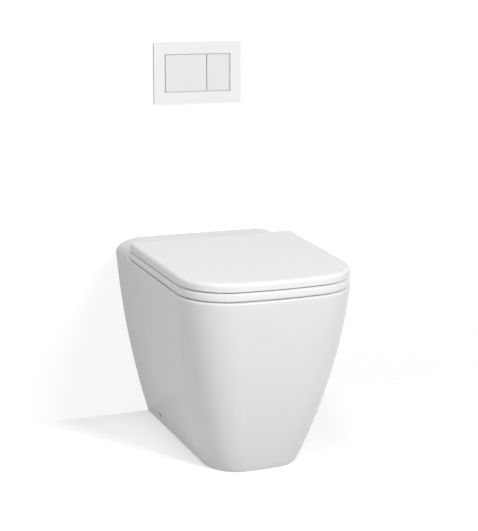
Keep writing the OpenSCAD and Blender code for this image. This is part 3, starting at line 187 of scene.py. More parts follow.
# A mesh of points in millimetres, with its faces turned outwards
def putMesh(name, points, quads, tris=None):
    mesh = bpy.data.meshes.new(name)
    points = np.asarray(points, float)
    tris = np.zeros((0, 3), int) if tris is None else tris
    if signedVolume(points, quads, tris) < 0:
        quads, tris = quads[:, ::-1], tris[:, ::-1]
    loops = np.concatenate([quads.ravel(), tris.ravel()]).astype(np.int32)
    sizes = np.concatenate([np.full(len(quads), 4), np.full(len(tris), 3)]).astype(np.int32)
    starts = np.concatenate([[0], np.cumsum(sizes)[:-1]]).astype(np.int32)
    mesh.vertices.add(len(points))
    mesh.vertices.foreach_set("co", (points * 0.001).astype(np.float32).ravel())
    mesh.loops.add(len(loops))
    mesh.loops.foreach_set("vertex_index", loops)
    mesh.polygons.add(len(sizes))
    mesh.polygons.foreach_set("loop_start", starts)
    mesh.update(calc_edges=True)
    mesh.validate()
    mesh.polygons.foreach_set("use_smooth", np.ones(len(mesh.polygons), bool))
    obj = bpy.data.objects.new(name, mesh)
    bpy.context.scene.collection.objects.link(obj)
    return obj


# A closed skin from a pole through all rows to another pole
def skin(name, firstPole, rows, lastPole):
    rows = np.asarray(rows)
    n, cols = rows.shape[:2]
    points = np.vstack([[firstPole], rows.reshape(-1, 3), [lastPole]])
    last = len(points) - 1
    tris = np.vstack([fan(0, 1, cols, False), fan(last, last - cols, cols, True)])
    return putMesh(name, points, gridFaces(n, cols) + 1, tris)


# A closed skin whose last row joins its first
def hoop(name, rows):
    rows = np.asarray(rows)
    n, cols = rows.shape[:2]
    return putMesh(name, rows.reshape(-1, 3), gridFaces(n, cols, True))


# Points of a circle of radius 1 square to a direction; the three numbers only say where it
# starts, and lie along no direction that is used
def circle(along, sides):
    u = np.cross(along, [0.31, 0.2, 0.93])
    u /= np.linalg.norm(u)
    a = np.linspace(0, 2 * np.pi, sides, endpoint=False)[:, None]
    return np.cos(a) * u + np.sin(a) * np.cross(along, u)


# A closed profile of (distance along the axis, radius) turned round an axis
def turned(name, profile, origin, along, sides=72):
    profile = np.asarray(profile, float)
    along = np.asarray(along, float)
    points = (np.asarray(origin, float) + profile[:, None, :1] * along
              + profile[:, None, 1:] * circle(along, sides)[None])
    return hoop(name, points)


# Faces that meet at less than a set angle are shaded as one smooth face
def smoothByAngle(obj, degrees):
    mesh = obj.data
    mesh.polygons.foreach_set("use_smooth", np.ones(len(mesh.polygons), bool))
    mesh.set_sharp_from_angle(angle=math.radians(degrees))


# Cuts the cutters' space out of a piece and removes the cutters
def cutAway(obj, cutters, degrees):
    for cutter in cutters:
        m = obj.modifiers.new("cut", "BOOLEAN")
        m.operation, m.solver, m.object = "DIFFERENCE", "EXACT", cutter
    bpy.context.view_layer.update()
    result = bpy.data.meshes.new_from_object(
        obj.evaluated_get(bpy.context.evaluated_depsgraph_get()))
    obj.modifiers.clear()
    obj.data = result
    for cutter in cutters:
        bpy.data.objects.remove(cutter)
    smoothByAngle(obj, degrees)
    return obj


# A prism over a convex polygon: two rings and their middles
def prism(name, polygon, low, high, place):
    polygon = np.asarray(polygon, float)
    middle = polygon.mean(axis=0, keepdims=True)

    def at(flat, height):
        return np.c_[flat, np.full(len(flat), height)] @ place

    return skin(name, at(middle, low)[0], [at(polygon, low), at(polygon, high)],
                at(middle, high)[0])


# Directions of a prism's polygon and of its length, for a length along each axis
lengthAlongY = np.array([[1, 0, 0], [0, 0, 1], [0, 1, 0]], float)
lengthAlongX = np.array([[0, 1, 0], [0, 0, 1], [1, 0, 0]], float)
lengthAlongZ = np.eye(3)


# A round rod between two points, to cut with
def rodCutter(name, radius, start, end, sides=64):
    start, end = np.asarray(start, float), np.asarray(end, float)
    ring = radius * circle((end - start) / np.linalg.norm(end - start), sides)
    return skin(name, start, np.stack([start + ring, end + ring]), end)


# Angles of a quarter turn
def rounded(steps):
    return np.radians(np.linspace(0, 90, steps))


# Heights that the pan's pieces share, and the rim's outline
rim = china["rimHeight"]
deckTop = rim + china["deckRise"]
underRim = rim - china["wall"]
guide = outline([rim], 0, 0, china["backRound"])[0]
roundTop = bowl["sumpFloor"] + bowl["sumpRadius"]


# Share of the bowl's opening left at a height: 1 at the rim, 0 at the sump, full in between
def bowlShare(z):
    t = np.clip((rim - z) / (rim - bowl["sumpTop"]), 0, 1)
    return (1 - t ** bowl["fall"]) ** bowl["fullness"]


# The bowl's oval at a share of its opening, larger by a margin
def bowlOval(share, grow, z):
    return atHeights(oval(guide, bowl["centre"],
                          lerp(bowl["sumpRadius"], bowl["length"] / 2, share) + grow,
                          lerp(bowl["sumpHalfWidth"], bowl["width"] / 2, share) + grow), z)


# The bowl's inside at its heights, or with a margin its outside
def bowlRing(z, grow):
    return bowlOval(bowlShare(np.asarray(z, float)), grow, z)


# The sump's floor turns up into its wall along a squarish round
def sumpRing(a, grow):
    r = bowl["sumpRadius"] + grow
    return atHeights(oval(guide, bowl["centre"], r * np.sqrt(np.cos(a)),
                          (bowl["sumpHalfWidth"] + grow) * np.sqrt(np.cos(a))),
                     roundTop - r * np.sqrt(np.sin(a)))


# Rows of the pan's skin, and how much closer the bowl's rows lie near the sump
panRows = {"sump": 4, "bowl": 34, "closer": 1.35, "flat": 9, "side": 40, "inside": 22}


# One closed skin: up from the sump's floor to the rim, over it and down the outside, round the
# foot, up the inside and along the bowl's underside
def panSkin():
    edge, edgeFoot = bowl["edge"], rim - bowl["edge"]
    sump = np.radians([82, 72, 61, 50, 40, 30, 21, 12, 5])
    levels = np.concatenate([
        np.linspace(roundTop, bowl["sumpTop"], panRows["sump"])[:-1],
        lerp(bowl["sumpTop"], edgeFoot, np.linspace(0, 1, panRows["bowl"]) ** panRows["closer"])])
    a = rounded(8)[1:]
    mouth = bowlOval(bowlShare(float(edgeFoot)), edge * (1 - np.cos(a)),
                     edgeFoot + edge * np.sin(a))
    r = china["rimRound"]
    top = atHeights(outline([rim], r, 0, china["topBackRound"]), rim)
    t = np.linspace(0, 1, panRows["flat"])[1:, None, None]
    flat = lerp(mouth[-1:], top, t)
    z = rim - r + r * np.cos(a)
    turn = atHeights(outline(z, r * (1 - np.sin(a)), 0, china["topBackRound"]), z)
    z = np.linspace(rim - r, china["footRound"], panRows["side"])[1:]
    side = atHeights(outline(z, 0, 0, china["backRound"]), z)
    a = rounded(4)[1:]
    r = china["footRound"]
    z = r - r * np.sin(a)
    foot = atHeights(outline(z, r * (1 - np.cos(a)), 0, china["backRound"]), z)
    z = np.linspace(0, underRim, panRows["inside"])
    inner = atHeights(outline(z, china["wall"], 0, china["backRound"]), z)
    under = bowlRing(np.concatenate([[underRim], levels[::-1][1:]]), bowl["wall"])
    rows = np.vstack([sumpRing(sump, 0), bowlRing(levels, 0), mouth, flat, turn, side, foot,
                      inner, under, sumpRing(sump[::-1], bowl["wall"])])
    middle = -bowl["centre"]
    return skin("panBody", (0, middle, bowl["sumpFloor"]), rows,
                (0, middle, bowl["sumpFloor"] - bowl["wall"]))


# The deck: a closed profile across it, straight at the sides, elliptical at the shoulders and
# level on top, carried from its rounded back edge to its rounded front edge
def deckBlock():
    c = china
    low, foot = rim - c["deckUnder"], deckTop - c["shoulderHeight"]
    a = rounded(24)
    straight = np.linspace(0, 1, 5)[:-1]
    off = np.concatenate([0 * straight, c["shoulderWidth"] * (1 - np.cos(a))])
    z = np.concatenate([lerp(low, foot, straight), foot + c["shoulderHeight"] * np.sin(a)])
    # outward direction of the side and of the shoulder's ellipse
    nx = np.concatenate([np.ones(len(straight)), np.cos(a) / c["shoulderWidth"]])
    nz = np.concatenate([np.zeros(len(straight)), np.sin(a) / c["shoulderHeight"]])
    nx, nz = nx / np.hypot(nx, nz), nz / np.hypot(nx, nz)
    level, back, front = np.linspace(1, 0, 10)[1:], c["deckBackRound"], c["deckRound"]
    turn = rounded(6)
    between = np.linspace(back, c["deckDepth"] - front, 10)[1:]
    depths = np.concatenate([back * (1 - np.sin(turn[::-1])), between,
                             c["deckDepth"] - front + front * np.sin(turn[1:])])
    insets = np.concatenate([back * (1 - np.cos(turn[::-1])), 0 * between,
                             front * (1 - np.cos(turn[1:]))])
    roundFoot = rim - c["rimRound"]
    rows = []
    for y, inset in zip(depths, insets):
        # below the rim the sides draw in a little and stay inside the pan's
        sink = c["deckSink"] * np.clip((roundFoot - z) / (roundFoot - low), 0, 1)
        x = halfWidth(z, y) - off - sink - nx * inset
        h = z - nz * inset
        x = np.concatenate([x, x[-1] * level])
        h = np.concatenate([h, np.full(len(level), h[-1])])
        bottom = np.linspace(-x[0], x[0], 12)[1:-1]
        x = np.concatenate([x, -x[-2::-1], bottom])
        h = np.concatenate([h, h[-2::-1], np.full(len(bottom), low)])
        # below the rim it also stays in front of the pan's back
        behind = -y - c["deckSink"] * np.clip((roundFoot - h) / c["deckSinkAtBack"], 0, 1)
        rows.append(np.c_[x, behind, h])
    middle = (low + deckTop) / 2
    return skin("panDeck", (0, rows[0][0, 1], middle), rows, (0, rows[-1][0, 1], middle))


# A round tube along a path of points in the plane X = 0, with its bore
def tubeAlong(name, path, outer, inner, sides=56):
    path = np.asarray(path, float)
    way = np.gradient(path, axis=0)
    way /= np.linalg.norm(way, axis=1)[:, None]
    side = np.array([1.0, 0, 0])
    up = np.cross(side, way)
    a = np.linspace(0, 2 * np.pi, sides, endpoint=False)
    ring = np.cos(a)[None, :, None] * side + np.sin(a)[None, :, None] * up[:, None]
    out = path[:, None] + outer * ring
    bore = (path[:, None] + inner * ring)[::-1]
    return hoop(name, np.vstack([out, bore])[::-1])


trap = {"bore": 60, "wall": 10, "bevel": 2, "bend": 55, "slope": 60, "start": 1.5, "throat": 12,
        "crown": 28, "crownDrop": 2, "crownHole": 8,
        "outletHeight": 180, "spigotWidth": 102, "spigotBore": 90, "spigotLength": 37,
        "spigotBevel": 1.5, "setback": 25,
        "inletHeight": 335, "inletBore": 55, "inletWall": 10.5, "inletSetback": 40, "inletEnd": 3}


# Middle line of the trap: level out of the sump, a bend up, the slope, a bend back and level to
# the outlet; with the place where the crown starts and its height
def trapPath():
    t = trap
    low = bowl["sumpFloor"] + t["bore"] / 2
    high = t["outletHeight"] + (t["spigotBore"] - t["bore"]) / 2 - t["crownDrop"]
    slope = math.radians(t["slope"])
    start = -bowl["centre"] + bowl["sumpRadius"] - t["start"]
    turn = start + t["throat"]
    a = np.linspace(0, slope, 14)
    first = np.c_[turn + t["bend"] * np.sin(a), low + t["bend"] * (1 - np.cos(a))]
    rise = t["bend"] * (1 - math.cos(slope))
    length = (high - low - 2 * rise) / math.sin(slope)
    crownY = turn + 2 * t["bend"] * math.sin(slope) + length * math.cos(slope)
    second = np.c_[crownY - t["bend"] * np.sin(a[::-1]), high - t["bend"] * (1 - np.cos(a[::-1]))]
    yz = np.vstack([[[start, low]], first, second, [[crownY + t["crown"], high]]])
    return np.c_[np.zeros(len(yz)), yz], crownY, high


# Openings in the china, and how far their cutters reach
openings = {
    "backMargin": 36, "backFoot": 6, "backTop": 12, "backBow": 0.68, "backDepth": (-13, 3),
    "throatReach": (20, 18), "inletReach": (30, 40), "crownReach": (30, 12),
    "pocketMargin": 5, "pocketUnder": 4,
    "studX": 77.5, "studY": -108.5, "studRadius": 8, "studReach": (20, 8),
    "capY": -105, "capZ": 24, "capRadius": 5.5, "capDepth": 6, "capReach": 9,
    "screwRadius": 3.5, "screwDepth": 24,
}


# The open back, which widens with the skirt
def backCut():
    o = openings
    low = china["footWidth"] / 2 - o["backMargin"]
    high = china["rimWidth"] / 2 - o["backMargin"]
    half, top = lerp(low, high, o["backBow"]), underRim - o["backTop"]
    window = [[-low, -o["backFoot"]], [low, -o["backFoot"]], [half, underRim / 2],
              [high, top], [-high, top], [-half, underRim / 2]]
    return prism("windowCut", window, *o["backDepth"], lengthAlongY)


# The hollow of the deck
def pocketCut():
    half = china["rimWidth"] / 2 - china["shoulderWidth"] - openings["pocketMargin"]
    front, back = china["wall"] - china["deckDepth"], -china["wall"]
    return prism("pocketCut", [[-half, front], [half, front], [half, back], [-half, back]],
                 underRim - openings["pocketUnder"], deckTop - china["wall"], lengthAlongZ)


# A cutter along Y from one reach before a place to the other behind it
def boreCut(name, bore, y, z, reach):
    return rodCutter(name, bore / 2, (0, y - reach[0], z), (0, y + reach[1], z))


# The hole of a seat stud, through the rim
def studCut(side):
    o = openings
    x, reach = side * o["studX"], o["studReach"]
    return rodCutter("studCut", o["studRadius"], (x, o["studY"], rim - reach[0]),
                     (x, o["studY"], rim + reach[1]), 32)


# The side screw's hole and the cap's wider seat, as one stepped cutter
def capCut(side):
    o = openings
    flank = float(halfWidth(float(o["capZ"]), -o["capY"]))
    inside, step, outside = flank - o["screwDepth"], flank - o["capDepth"], flank + o["capReach"]
    x = side * np.array([inside, step, step, outside])[:, None]
    r = np.array([o["screwRadius"]] * 2 + [o["capRadius"]] * 2)[:, None]
    a = np.linspace(0, 2 * np.pi, 32, endpoint=False)
    rings = np.stack([x + 0 * a, o["capY"] + side * r * np.cos(a), o["capZ"] + r * np.sin(a)], 2)
    return skin("capCut", (x[0, 0], o["capY"], o["capZ"]), rings,
                (x[-1, 0], o["capY"], o["capZ"]))


# The trap's crown opens into a wider chamber that ends in the outlet's spigot
def makeOutlet(crownY, high):
    t = trap
    start, end = crownY + t["crown"], -t["setback"]
    shoulder, spigot = end - t["spigotLength"], t["spigotWidth"] / 2
    inside, outside = t["spigotBore"] / 2, t["spigotBore"] / 2 + t["wall"]
    bevel, edge = t["bevel"], t["spigotBevel"]
    profile = [(start - t["wall"], t["crownHole"]), (start - t["wall"], outside - bevel),
               (start - (t["wall"] - bevel), outside), (shoulder - bevel, outside),
               (shoulder, outside - bevel), (shoulder, spigot), (end - edge, spigot),
               (end, spigot - edge), (end, inside), (start, inside), (start, t["crownHole"])]
    outlet = turned("panOutlet", profile, (0, 0, t["outletHeight"]), (0, 1, 0))
    cutter = boreCut("crownCut", t["bore"], start, high, openings["crownReach"])
    return cutAway(outlet, [cutter], 35)


# The horn that takes the flush pipe's connector
def makeInlet(backY):
    t = trap
    inside, end, bevel = t["inletBore"] / 2, -t["inletSetback"], t["bevel"]
    outside, start = inside + t["inletWall"], backY + t["inletEnd"]
    profile = [(start, outside), (end - bevel, outside), (end, outside - bevel), (end, inside),
               (start, inside)]
    inlet = turned("panInlet", profile, (0, 0, t["inletHeight"]), (0, 1, 0))
    smoothByAngle(inlet, 35)
    return inlet


def makePan():
    t, o = trap, openings
    body = panSkin()
    path, crownY, high = trapPath()
    throatY, throatZ = path[0, 1:]
    inletZ = t["inletHeight"]
    backY = -bowl["centre"] + float(lerp(bowl["sumpRadius"], bowl["length"] / 2,
                                         bowlShare(float(inletZ))))
    cutters = [backCut(), boreCut("throatCut", t["bore"], throatY, throatZ, o["throatReach"]),
               boreCut("inletCut", t["inletBore"], backY, inletZ, o["inletReach"]), pocketCut()]
    for side in (-1, 1):
        cutters += [studCut(side), capCut(side)]
    cutAway(body, cutters, 35)
    tube = tubeAlong("panTrap", path, t["bore"] / 2 + t["wall"], t["bore"] / 2)
    smoothByAngle(tube, 40)
    outlet, inlet = makeOutlet(crownY, high), makeInlet(backY)
    deck = cutAway(deckBlock(), [pocketCut()], 50)
    return [body, deck, tube, outlet, inlet]


for piece in makePan():
    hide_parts("pan")
    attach(piece, "fixed_parts")
print("pan made")

# Seat and lid share one outline, a little inside the rim's
cover = {"back": 99, "inset": 1, "corner": 12, "seatBottom": 401.5, "seatTop": 420,
         "lidBottom": 422, "lidTop": 440, "lidEdge": 8, "lidWall": 3.5, "lidLip": 0.8,
         "seatEdge": 5, "holeLength": 270, "holeWidth": 216, "holeEdge": 7, "holeUnder": 2.5,
         "dish": 3, "notchBack": 90, "slotBack": 97, "slotBite": 0.5}
hinge = {"y": -108.5, "z": 430.5, "knuckle": 5.5, "bevel": 0.5, "pin": 3.05, "postFrom": 62,
         "postTo": 93, "lug": 16, "gap": 2, "notch": 1.5, "foot": 20, "stem": 7,
         "webInset": 0.4, "seatWeb": 4, "slotPlay": 1}
lidRecess = {"before": 2.1, "behind": 2.5, "beyond": 3, "shallow": 1.7, "deep": 7, "half": 260}
lidBosses = {"along": (250, 445), "inset": 19, "radius": 7, "bevel": 0.4, "hole": 2, "foot": 1,
             "reach": 0.3}
coverGuide = outline([rim], cover["inset"], cover["back"], cover["corner"])[0]


# Rings of the outline that seat and lid share, drawn in by an inset
def coverRing(inset, z):
    inset = np.atleast_1d(np.asarray(inset, float))
    rings = outline(np.full(len(inset), float(rim)), inset + cover["inset"],
                    cover["back"] - cover["inset"], cover["corner"] + cover["inset"])
    return atHeights(rings, z)


# Rings of the seat's oval opening, wider by a margin
def holeRing(grow, z):
    grow = np.atleast_1d(np.asarray(grow, float))
    return atHeights(oval(coverGuide, bowl["centre"], cover["holeLength"] / 2 + grow,
                          cover["holeWidth"] / 2 + grow), z)


# Rows of the round edge from a flat top down to the side
def topEdge(size, height, steps):
    a = rounded(steps)[::-1]
    return coverRing(size * (1 - np.cos(a)), height - size * (1 - np.sin(a)))


# A rectangle between two corners
def box(x0, x1, y0, y1):
    return [[x0, y0], [x1, y0], [x1, y1], [x0, y1]]


# A span on one side of the middle, from its low to its high end
def span(side, near, far):
    return sorted((side * near, side * far))


# A lug of seat or lid: a knuckle with its bore, and a web between it and the shell
def lug(name, x0, x1, webLow, webHigh, halfWeb):
    h = hinge
    inside, outside, bevel = h["pin"], h["knuckle"], h["bevel"]
    barrel = turned(name, [(x0, inside), (x0, outside - bevel), (x0 + bevel, outside),
                           (x1 - bevel, outside), (x1, outside - bevel), (x1, inside)],
                    (0, h["y"], h["z"]), (1, 0, 0), 40)
    web = prism(name + "Web", box(h["y"] - halfWeb, h["y"] + halfWeb, webLow, webHigh),
                x0 + h["webInset"], x1 - h["webInset"], lengthAlongX)
    cut = rodCutter(name + "Cut", inside, (x0 - 2, h["y"], h["z"]), (x1 + 2, h["y"], h["z"]), 32)
    cutAway(web, [cut], 30)
    smoothByAngle(barrel, 30)
    return [barrel, web]


# A ring of rounds: outer edge, underside, the opening's round edge and a top in a soft S
def makeSeat():
    c, h = cover, hinge
    e, u, g = c["seatEdge"], c["holeUnder"], c["holeEdge"]
    a, b = rounded(8)[::-1], rounded(4)[::-1]
    top = topEdge(e, c["seatTop"], 8)
    low = coverRing(e * (1 - np.sin(a)), c["seatBottom"] + e * (1 - np.cos(a)))
    under = holeRing(u * (1 - np.cos(b)), c["seatBottom"] + u * (1 - np.sin(b)))
    inner = holeRing(g * (1 - np.sin(a)), c["seatTop"] - c["dish"] - g * (1 - np.cos(a)))
    t = np.linspace(0, 1, 12)[1:-1, None, None]
    face = lerp(inner[-1:], top[:1], t)
    soft = t * t * (3 - 2 * t)
    face[:, :, 2] = lerp(inner[-1:, :, 2], top[:1, :, 2], soft[:, :, 0])
    seat = hoop("seatRing", np.vstack([top, low, under, inner, face]))
    cutters = []
    for side in (-1, 1):
        x0, x1 = span(side, h["postFrom"] - h["notch"], h["postTo"] + h["notch"])
        front = h["y"] - h["foot"] / 2 - h["notch"]
        cutters.append(prism("notch", box(x0, x1, front, -c["notchBack"]),
                             c["seatBottom"] - 2, c["seatTop"] + 2, lengthAlongZ))
    cutAway(seat, cutters, 30)
    made = [seat]
    for side in (-1, 1):
        x0, x1 = span(side, h["postFrom"] - h["gap"] - h["lug"], h["postFrom"] - h["gap"])
        made += lug("seatLug%d" % (side + 1), x0, x1, c["seatTop"] - h["seatWeb"], h["z"],
                    h["stem"] / 2)
    return made


# A flat top with a round edge, a wall with a small round lip, and the same again inside
def lidSkin():
    c = cover
    e, w, lip = c["lidEdge"], c["lidWall"], c["lidLip"]
    top = topEdge(e, c["lidTop"], 12)
    z = np.linspace(c["lidTop"] - e, c["lidBottom"] + lip, 5)[1:]
    wall = coverRing(np.zeros(len(z)), z)
    b = rounded(4)
    outer = coverRing(lip * (1 - np.cos(b[1:])), c["lidBottom"] + lip * (1 - np.sin(b[1:])))
    inner = coverRing(w - lip * (1 - np.sin(b)), c["lidBottom"] + lip * (1 - np.cos(b)))
    a = rounded(12)
    r = e - w
    turn = coverRing(w + r * (1 - np.cos(a)), c["lidTop"] - e + r * np.sin(a))
    middle = -(china["rimDepth"] + c["back"]) / 2
    above = np.array([0, middle, c["lidTop"]])
    below = np.array([0, middle, c["lidTop"] - w])
    t = np.linspace(0, 1, 9)[1:-1, None, None]
    plate = lerp(above[None, None], top[:1], t)
    under = lerp(turn[-1:], below[None, None], t)
    return skin("lidShell", above, np.vstack([plate, top, wall, outer, inner, turn, under]), below)


# A round boss under the lid, which its buffer sits on
def lidBoss(side, along):
    c, b = cover, lidBosses
    low, high = c["lidBottom"] + b["foot"], c["lidTop"] - c["lidWall"] + b["reach"]
    profile = [(low, b["hole"]), (low, b["radius"] - b["bevel"]), (low + b["bevel"], b["radius"]),
               (high, b["radius"]), (high, b["hole"])]
    x = side * (china["rimFrontWidth"] / 2 - b["inset"])
    piece = turned("lidBoss%d_%d" % (side + 1, along), profile, (x, -along, 0), (0, 0, 1), 32)
    smoothByAngle(piece, 30)
    return piece


def makeLid():
    c, h, r = cover, hinge, lidRecess
    lid = lidSkin()
    under = c["lidTop"] - c["lidWall"]
    cutters = []
    # slots in the back wall let the lid turn past the stems of the posts
    for side in (-1, 1):
        x0, x1 = span(side, h["postFrom"] - h["gap"] - h["lug"] - h["slotPlay"],
                      h["postTo"] + h["slotPlay"])
        cutters.append(prism("slot", box(x0, x1, h["y"], -c["slotBack"]),
                             c["lidBottom"] - 2, under + c["slotBite"], lengthAlongZ))
    # the back wall's bottom edge is cut on a slope, to turn clear of the seat
    inside = h["y"] + c["lidEdge"]
    lowY, highY, foot = inside - r["before"], inside + r["behind"], c["lidBottom"] - 1
    cutters.append(prism("backCut", [[lowY, foot], [highY + r["beyond"], foot],
                                     [highY + r["beyond"], h["z"] - r["shallow"]],
                                     [highY, h["z"] - r["shallow"]], [lowY, h["z"] - r["deep"]]],
                         -r["half"], r["half"], lengthAlongX))
    cutAway(lid, cutters, 30)
    made = [lid]
    for side in (-1, 1):
        x0, x1 = span(side, h["postTo"] + h["gap"], h["postTo"] + h["gap"] + h["lug"])
        made += lug("lidLug%d" % (side + 1), x0, x1, h["z"], under + lidBosses["reach"],
                    h["knuckle"])
        made += [lidBoss(side, along) for along in lidBosses["along"]]
    return made


for piece in makeSeat():
    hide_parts("seat")
    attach(piece, "seat_unit")
for piece in makeLid():
    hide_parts("lid")
    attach(piece, "lid_unit")
print("seat and lid made")

# The fixed end is where the coil stands on its bracket, as a distance into the wall
spring = {"wire": 0.8, "turns": 3, "steps": 36, "sides": 12, "fixedEnd": 6, "travel": 5}


# A wire coil in the CAD spring's place
def makeSpring(name, node):
    low, high = [1000 * np.asarray(v, float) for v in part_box(node)]
    half = spring["wire"] / 2
    middle, radius = (low + high) / 2, (high[0] - low[0]) / 2 - half
    t = np.linspace(0, 1, spring["turns"] * spring["steps"] + 1)[:, None]
    a = 2 * np.pi * spring["turns"] * t
    b = np.linspace(0, 2 * np.pi, spring["sides"], endpoint=False)[None]
    r = radius + half * np.cos(b)
    y = lerp(low[1] + half, high[1] - half, t)
    rings = np.dstack([middle[0] + r * np.cos(a), y + half * np.sin(b), middle[2] + r * np.sin(a)])
    piece = skin(name, rings[0].mean(axis=0), rings, rings[-1].mean(axis=0))
    smoothByAngle(piece, 50)
    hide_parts(node)
    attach(piece, "fixed_parts")
    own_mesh(piece)


makeSpring("fullCoil", "full_spring")
makeSpring("halfCoil", "half_spring")
print("springs made")

# Two shades, the least and greatest roughness, how fine mottle and grain are, and the grain's
# height in metres; the painted shade value is the share of the colour left where gaps are darkest
finishes = {
    "chinaGlaze": {"light": (0.83, 0.83, 0.825), "dark": (0.80, 0.80, 0.797), "rough": (0.14, 0.2),
                   "mottle": 9, "grain": 55, "bump": 0.00006, "shine": 0.15},
    "seatGloss": {"light": (0.86, 0.86, 0.855), "dark": (0.845, 0.845, 0.842),
                  "rough": (0.18, 0.24), "mottle": 7, "grain": 180, "bump": 0.00003,
                  "shine": 0.15},
    "plateGloss": {"light": (0.775, 0.775, 0.775), "dark": (0.77, 0.77, 0.77),
                   "rough": (0.25, 0.27), "mottle": 20, "grain": 700, "bump": 0.00001, "coat": 0.1,
                   "paintedShade": 0.03},
    "buttonGloss": {"light": (0.725, 0.725, 0.725), "dark": (0.72, 0.72, 0.72),
                    "rough": (0.26, 0.28), "mottle": 20, "grain": 700, "bump": 0.00001,
                    "coat": 0.1, "paintedShade": 0.03},
    "whiteMoulding": {"light": (0.82, 0.82, 0.81), "dark": (0.77, 0.77, 0.76),
                      "rough": (0.38, 0.5), "mottle": 30, "grain": 900, "bump": 0.00002},
    "creamMoulding": {"light": (0.74, 0.74, 0.71), "dark": (0.69, 0.69, 0.66),
                      "rough": (0.42, 0.56), "mottle": 14, "grain": 500, "bump": 0.00004},
    "greyMoulding": {"light": (0.36, 0.37, 0.39), "dark": (0.31, 0.32, 0.34),
                     "rough": (0.4, 0.55), "mottle": 22, "grain": 700, "bump": 0.00003},
    "darkMoulding": {"light": (0.06, 0.06, 0.065), "dark": (0.045, 0.045, 0.05),
                     "rough": (0.4, 0.55), "mottle": 22, "grain": 700, "bump": 0.00003},
    "blueMoulding": {"light": (0.07, 0.17, 0.42), "dark": (0.055, 0.14, 0.36),
                     "rough": (0.36, 0.5), "mottle": 30, "grain": 800, "bump": 0.00002},
    "blackRubber": {"light": (0.045, 0.045, 0.047), "dark": (0.03, 0.03, 0.032),
                    "rough": (0.62, 0.8), "mottle": 60, "grain": 1400, "bump": 0.00003},
    "brushedSteel": {"light": (0.66, 0.67, 0.69), "dark": (0.55, 0.56, 0.58),
                     "rough": (0.24, 0.38), "mottle": 18, "grain": 900, "bump": 0.00001,
                     "metal": 1.0, "stretch": (1, 14, 1)},
    "platedBrass": {"light": (0.72, 0.72, 0.74), "dark": (0.66, 0.66, 0.68),
                    "rough": (0.12, 0.2), "mottle": 24, "grain": 300, "bump": 0.00001,
                    "metal": 1.0},
}


# What all finishes share
basics = {"mottleDetail": 3, "grainDetail": 2, "bumpStrength": 0.6, "coatRough": 0.05}
# Painted shade in gaps, as round the buttons and at the plate's sides near the wall: how far a
# gap's other side may be, the openness where the painted shade is darkest and where it ends, and
# the shine of the unshaded surface
paintedShade = {"reach": 0.004, "full": 0.85, "none": 0.99, "unshadedShine": 0.5}


# A soft noise on the piece's own coordinates
def softNoise(tree, place, scale, detail):
    noise = tree.nodes.new("ShaderNodeTexNoise")
    noise.inputs["Scale"].default_value = scale
    noise.inputs["Detail"].default_value = detail
    tree.links.new(place, noise.inputs["Vector"])
    return noise.outputs["Fac"]


# A share carried over to the values between low and high
def spread(tree, share, low, high):
    spreader = tree.nodes.new("ShaderNodeMapRange")
    spreader.inputs["To Min"].default_value = low
    spreader.inputs["To Max"].default_value = high
    tree.links.new(share, spreader.inputs["Value"])
    return spreader


# The sum or product of two values, the second a number or another node's output
def combine(tree, operation, first, second):
    result = tree.nodes.new("ShaderNodeMath")
    result.operation = operation
    tree.links.new(first, result.inputs[0])
    if isinstance(second, float):
        result.inputs[1].default_value = second
    else:
        tree.links.new(second, result.inputs[1])
    return result


# Painted shade where surfaces lie close together, as in the gaps round the buttons and at the
# plate's
# sides near the wall: the colour darkens to the given share of it, and the shine goes down with it
def addPaintedShade(tree, shader, shade, left):
    add, link = tree.nodes.new, tree.links.new
    close = add("ShaderNodeAmbientOcclusion")
    close.inputs["Distance"].default_value = paintedShade["reach"]
    share = spread(tree, close.outputs["AO"], left, 1)
    share.inputs["From Min"].default_value = paintedShade["full"]
    share.inputs["From Max"].default_value = paintedShade["none"]
    shadedColour = add("ShaderNodeVectorMath")
    shadedColour.operation = "SCALE"
    link(shade, shadedColour.inputs[0])
    link(share.outputs["Result"], shadedColour.inputs["Scale"])
    link(shadedColour.outputs["Vector"], shader.inputs["Base Color"])
    shadedShine = combine(tree, "MULTIPLY", share.outputs["Result"], paintedShade["unshadedShine"])
    link(shadedShine.outputs[0], shader.inputs["Specular IOR Level"])


# A finish: two shades mottled by a soft noise, a roughness that wanders with it, and a fine
# grain as bump
def finish(name):
    f = finishes[name]
    material = bpy.data.materials.new(name)
    material.use_nodes = True
    tree = material.node_tree
    add, link = tree.nodes.new, tree.links.new
    shader = tree.nodes["Principled BSDF"]
    place = add("ShaderNodeTexCoord")
    mapping = add("ShaderNodeMapping")
    mapping.inputs["Scale"].default_value = f.get("stretch", (1, 1, 1))
    link(place.outputs["Object"], mapping.inputs["Vector"])
    mottle = softNoise(tree, mapping.outputs["Vector"], f["mottle"], basics["mottleDetail"])
    shade = add("ShaderNodeMix")
    shade.data_type = "RGBA"
    shade.inputs["A"].default_value = (*f["dark"], 1)
    shade.inputs["B"].default_value = (*f["light"], 1)
    link(mottle, shade.inputs["Factor"])
    link(shade.outputs["Result"], shader.inputs["Base Color"])
    link(spread(tree, mottle, *f["rough"]).outputs["Result"], shader.inputs["Roughness"])
    grain = softNoise(tree, mapping.outputs["Vector"], f["grain"], basics["grainDetail"])
    bump = add("ShaderNodeBump")
    bump.inputs["Distance"].default_value = f["bump"]
    bump.inputs["Strength"].default_value = basics["bumpStrength"]
    link(grain, bump.inputs["Height"])
    link(bump.outputs["Normal"], shader.inputs["Normal"])
    shader.inputs["Metallic"].default_value = f.get("metal", 0.0)
    shader.inputs["Specular IOR Level"].default_value = f.get("shine", 0.5)
    shader.inputs["Coat Weight"].default_value = f.get("coat", 0.0)
    shader.inputs["Coat Roughness"].default_value = basics["coatRough"]
    # painted shade in gaps and near the wall, for the finishes that have it
    if "paintedShade" in f:
        addPaintedShade(tree, shader, shade.outputs["Result"], f["paintedShade"])
    return material


paints = {name: finish(name) for name in finishes}
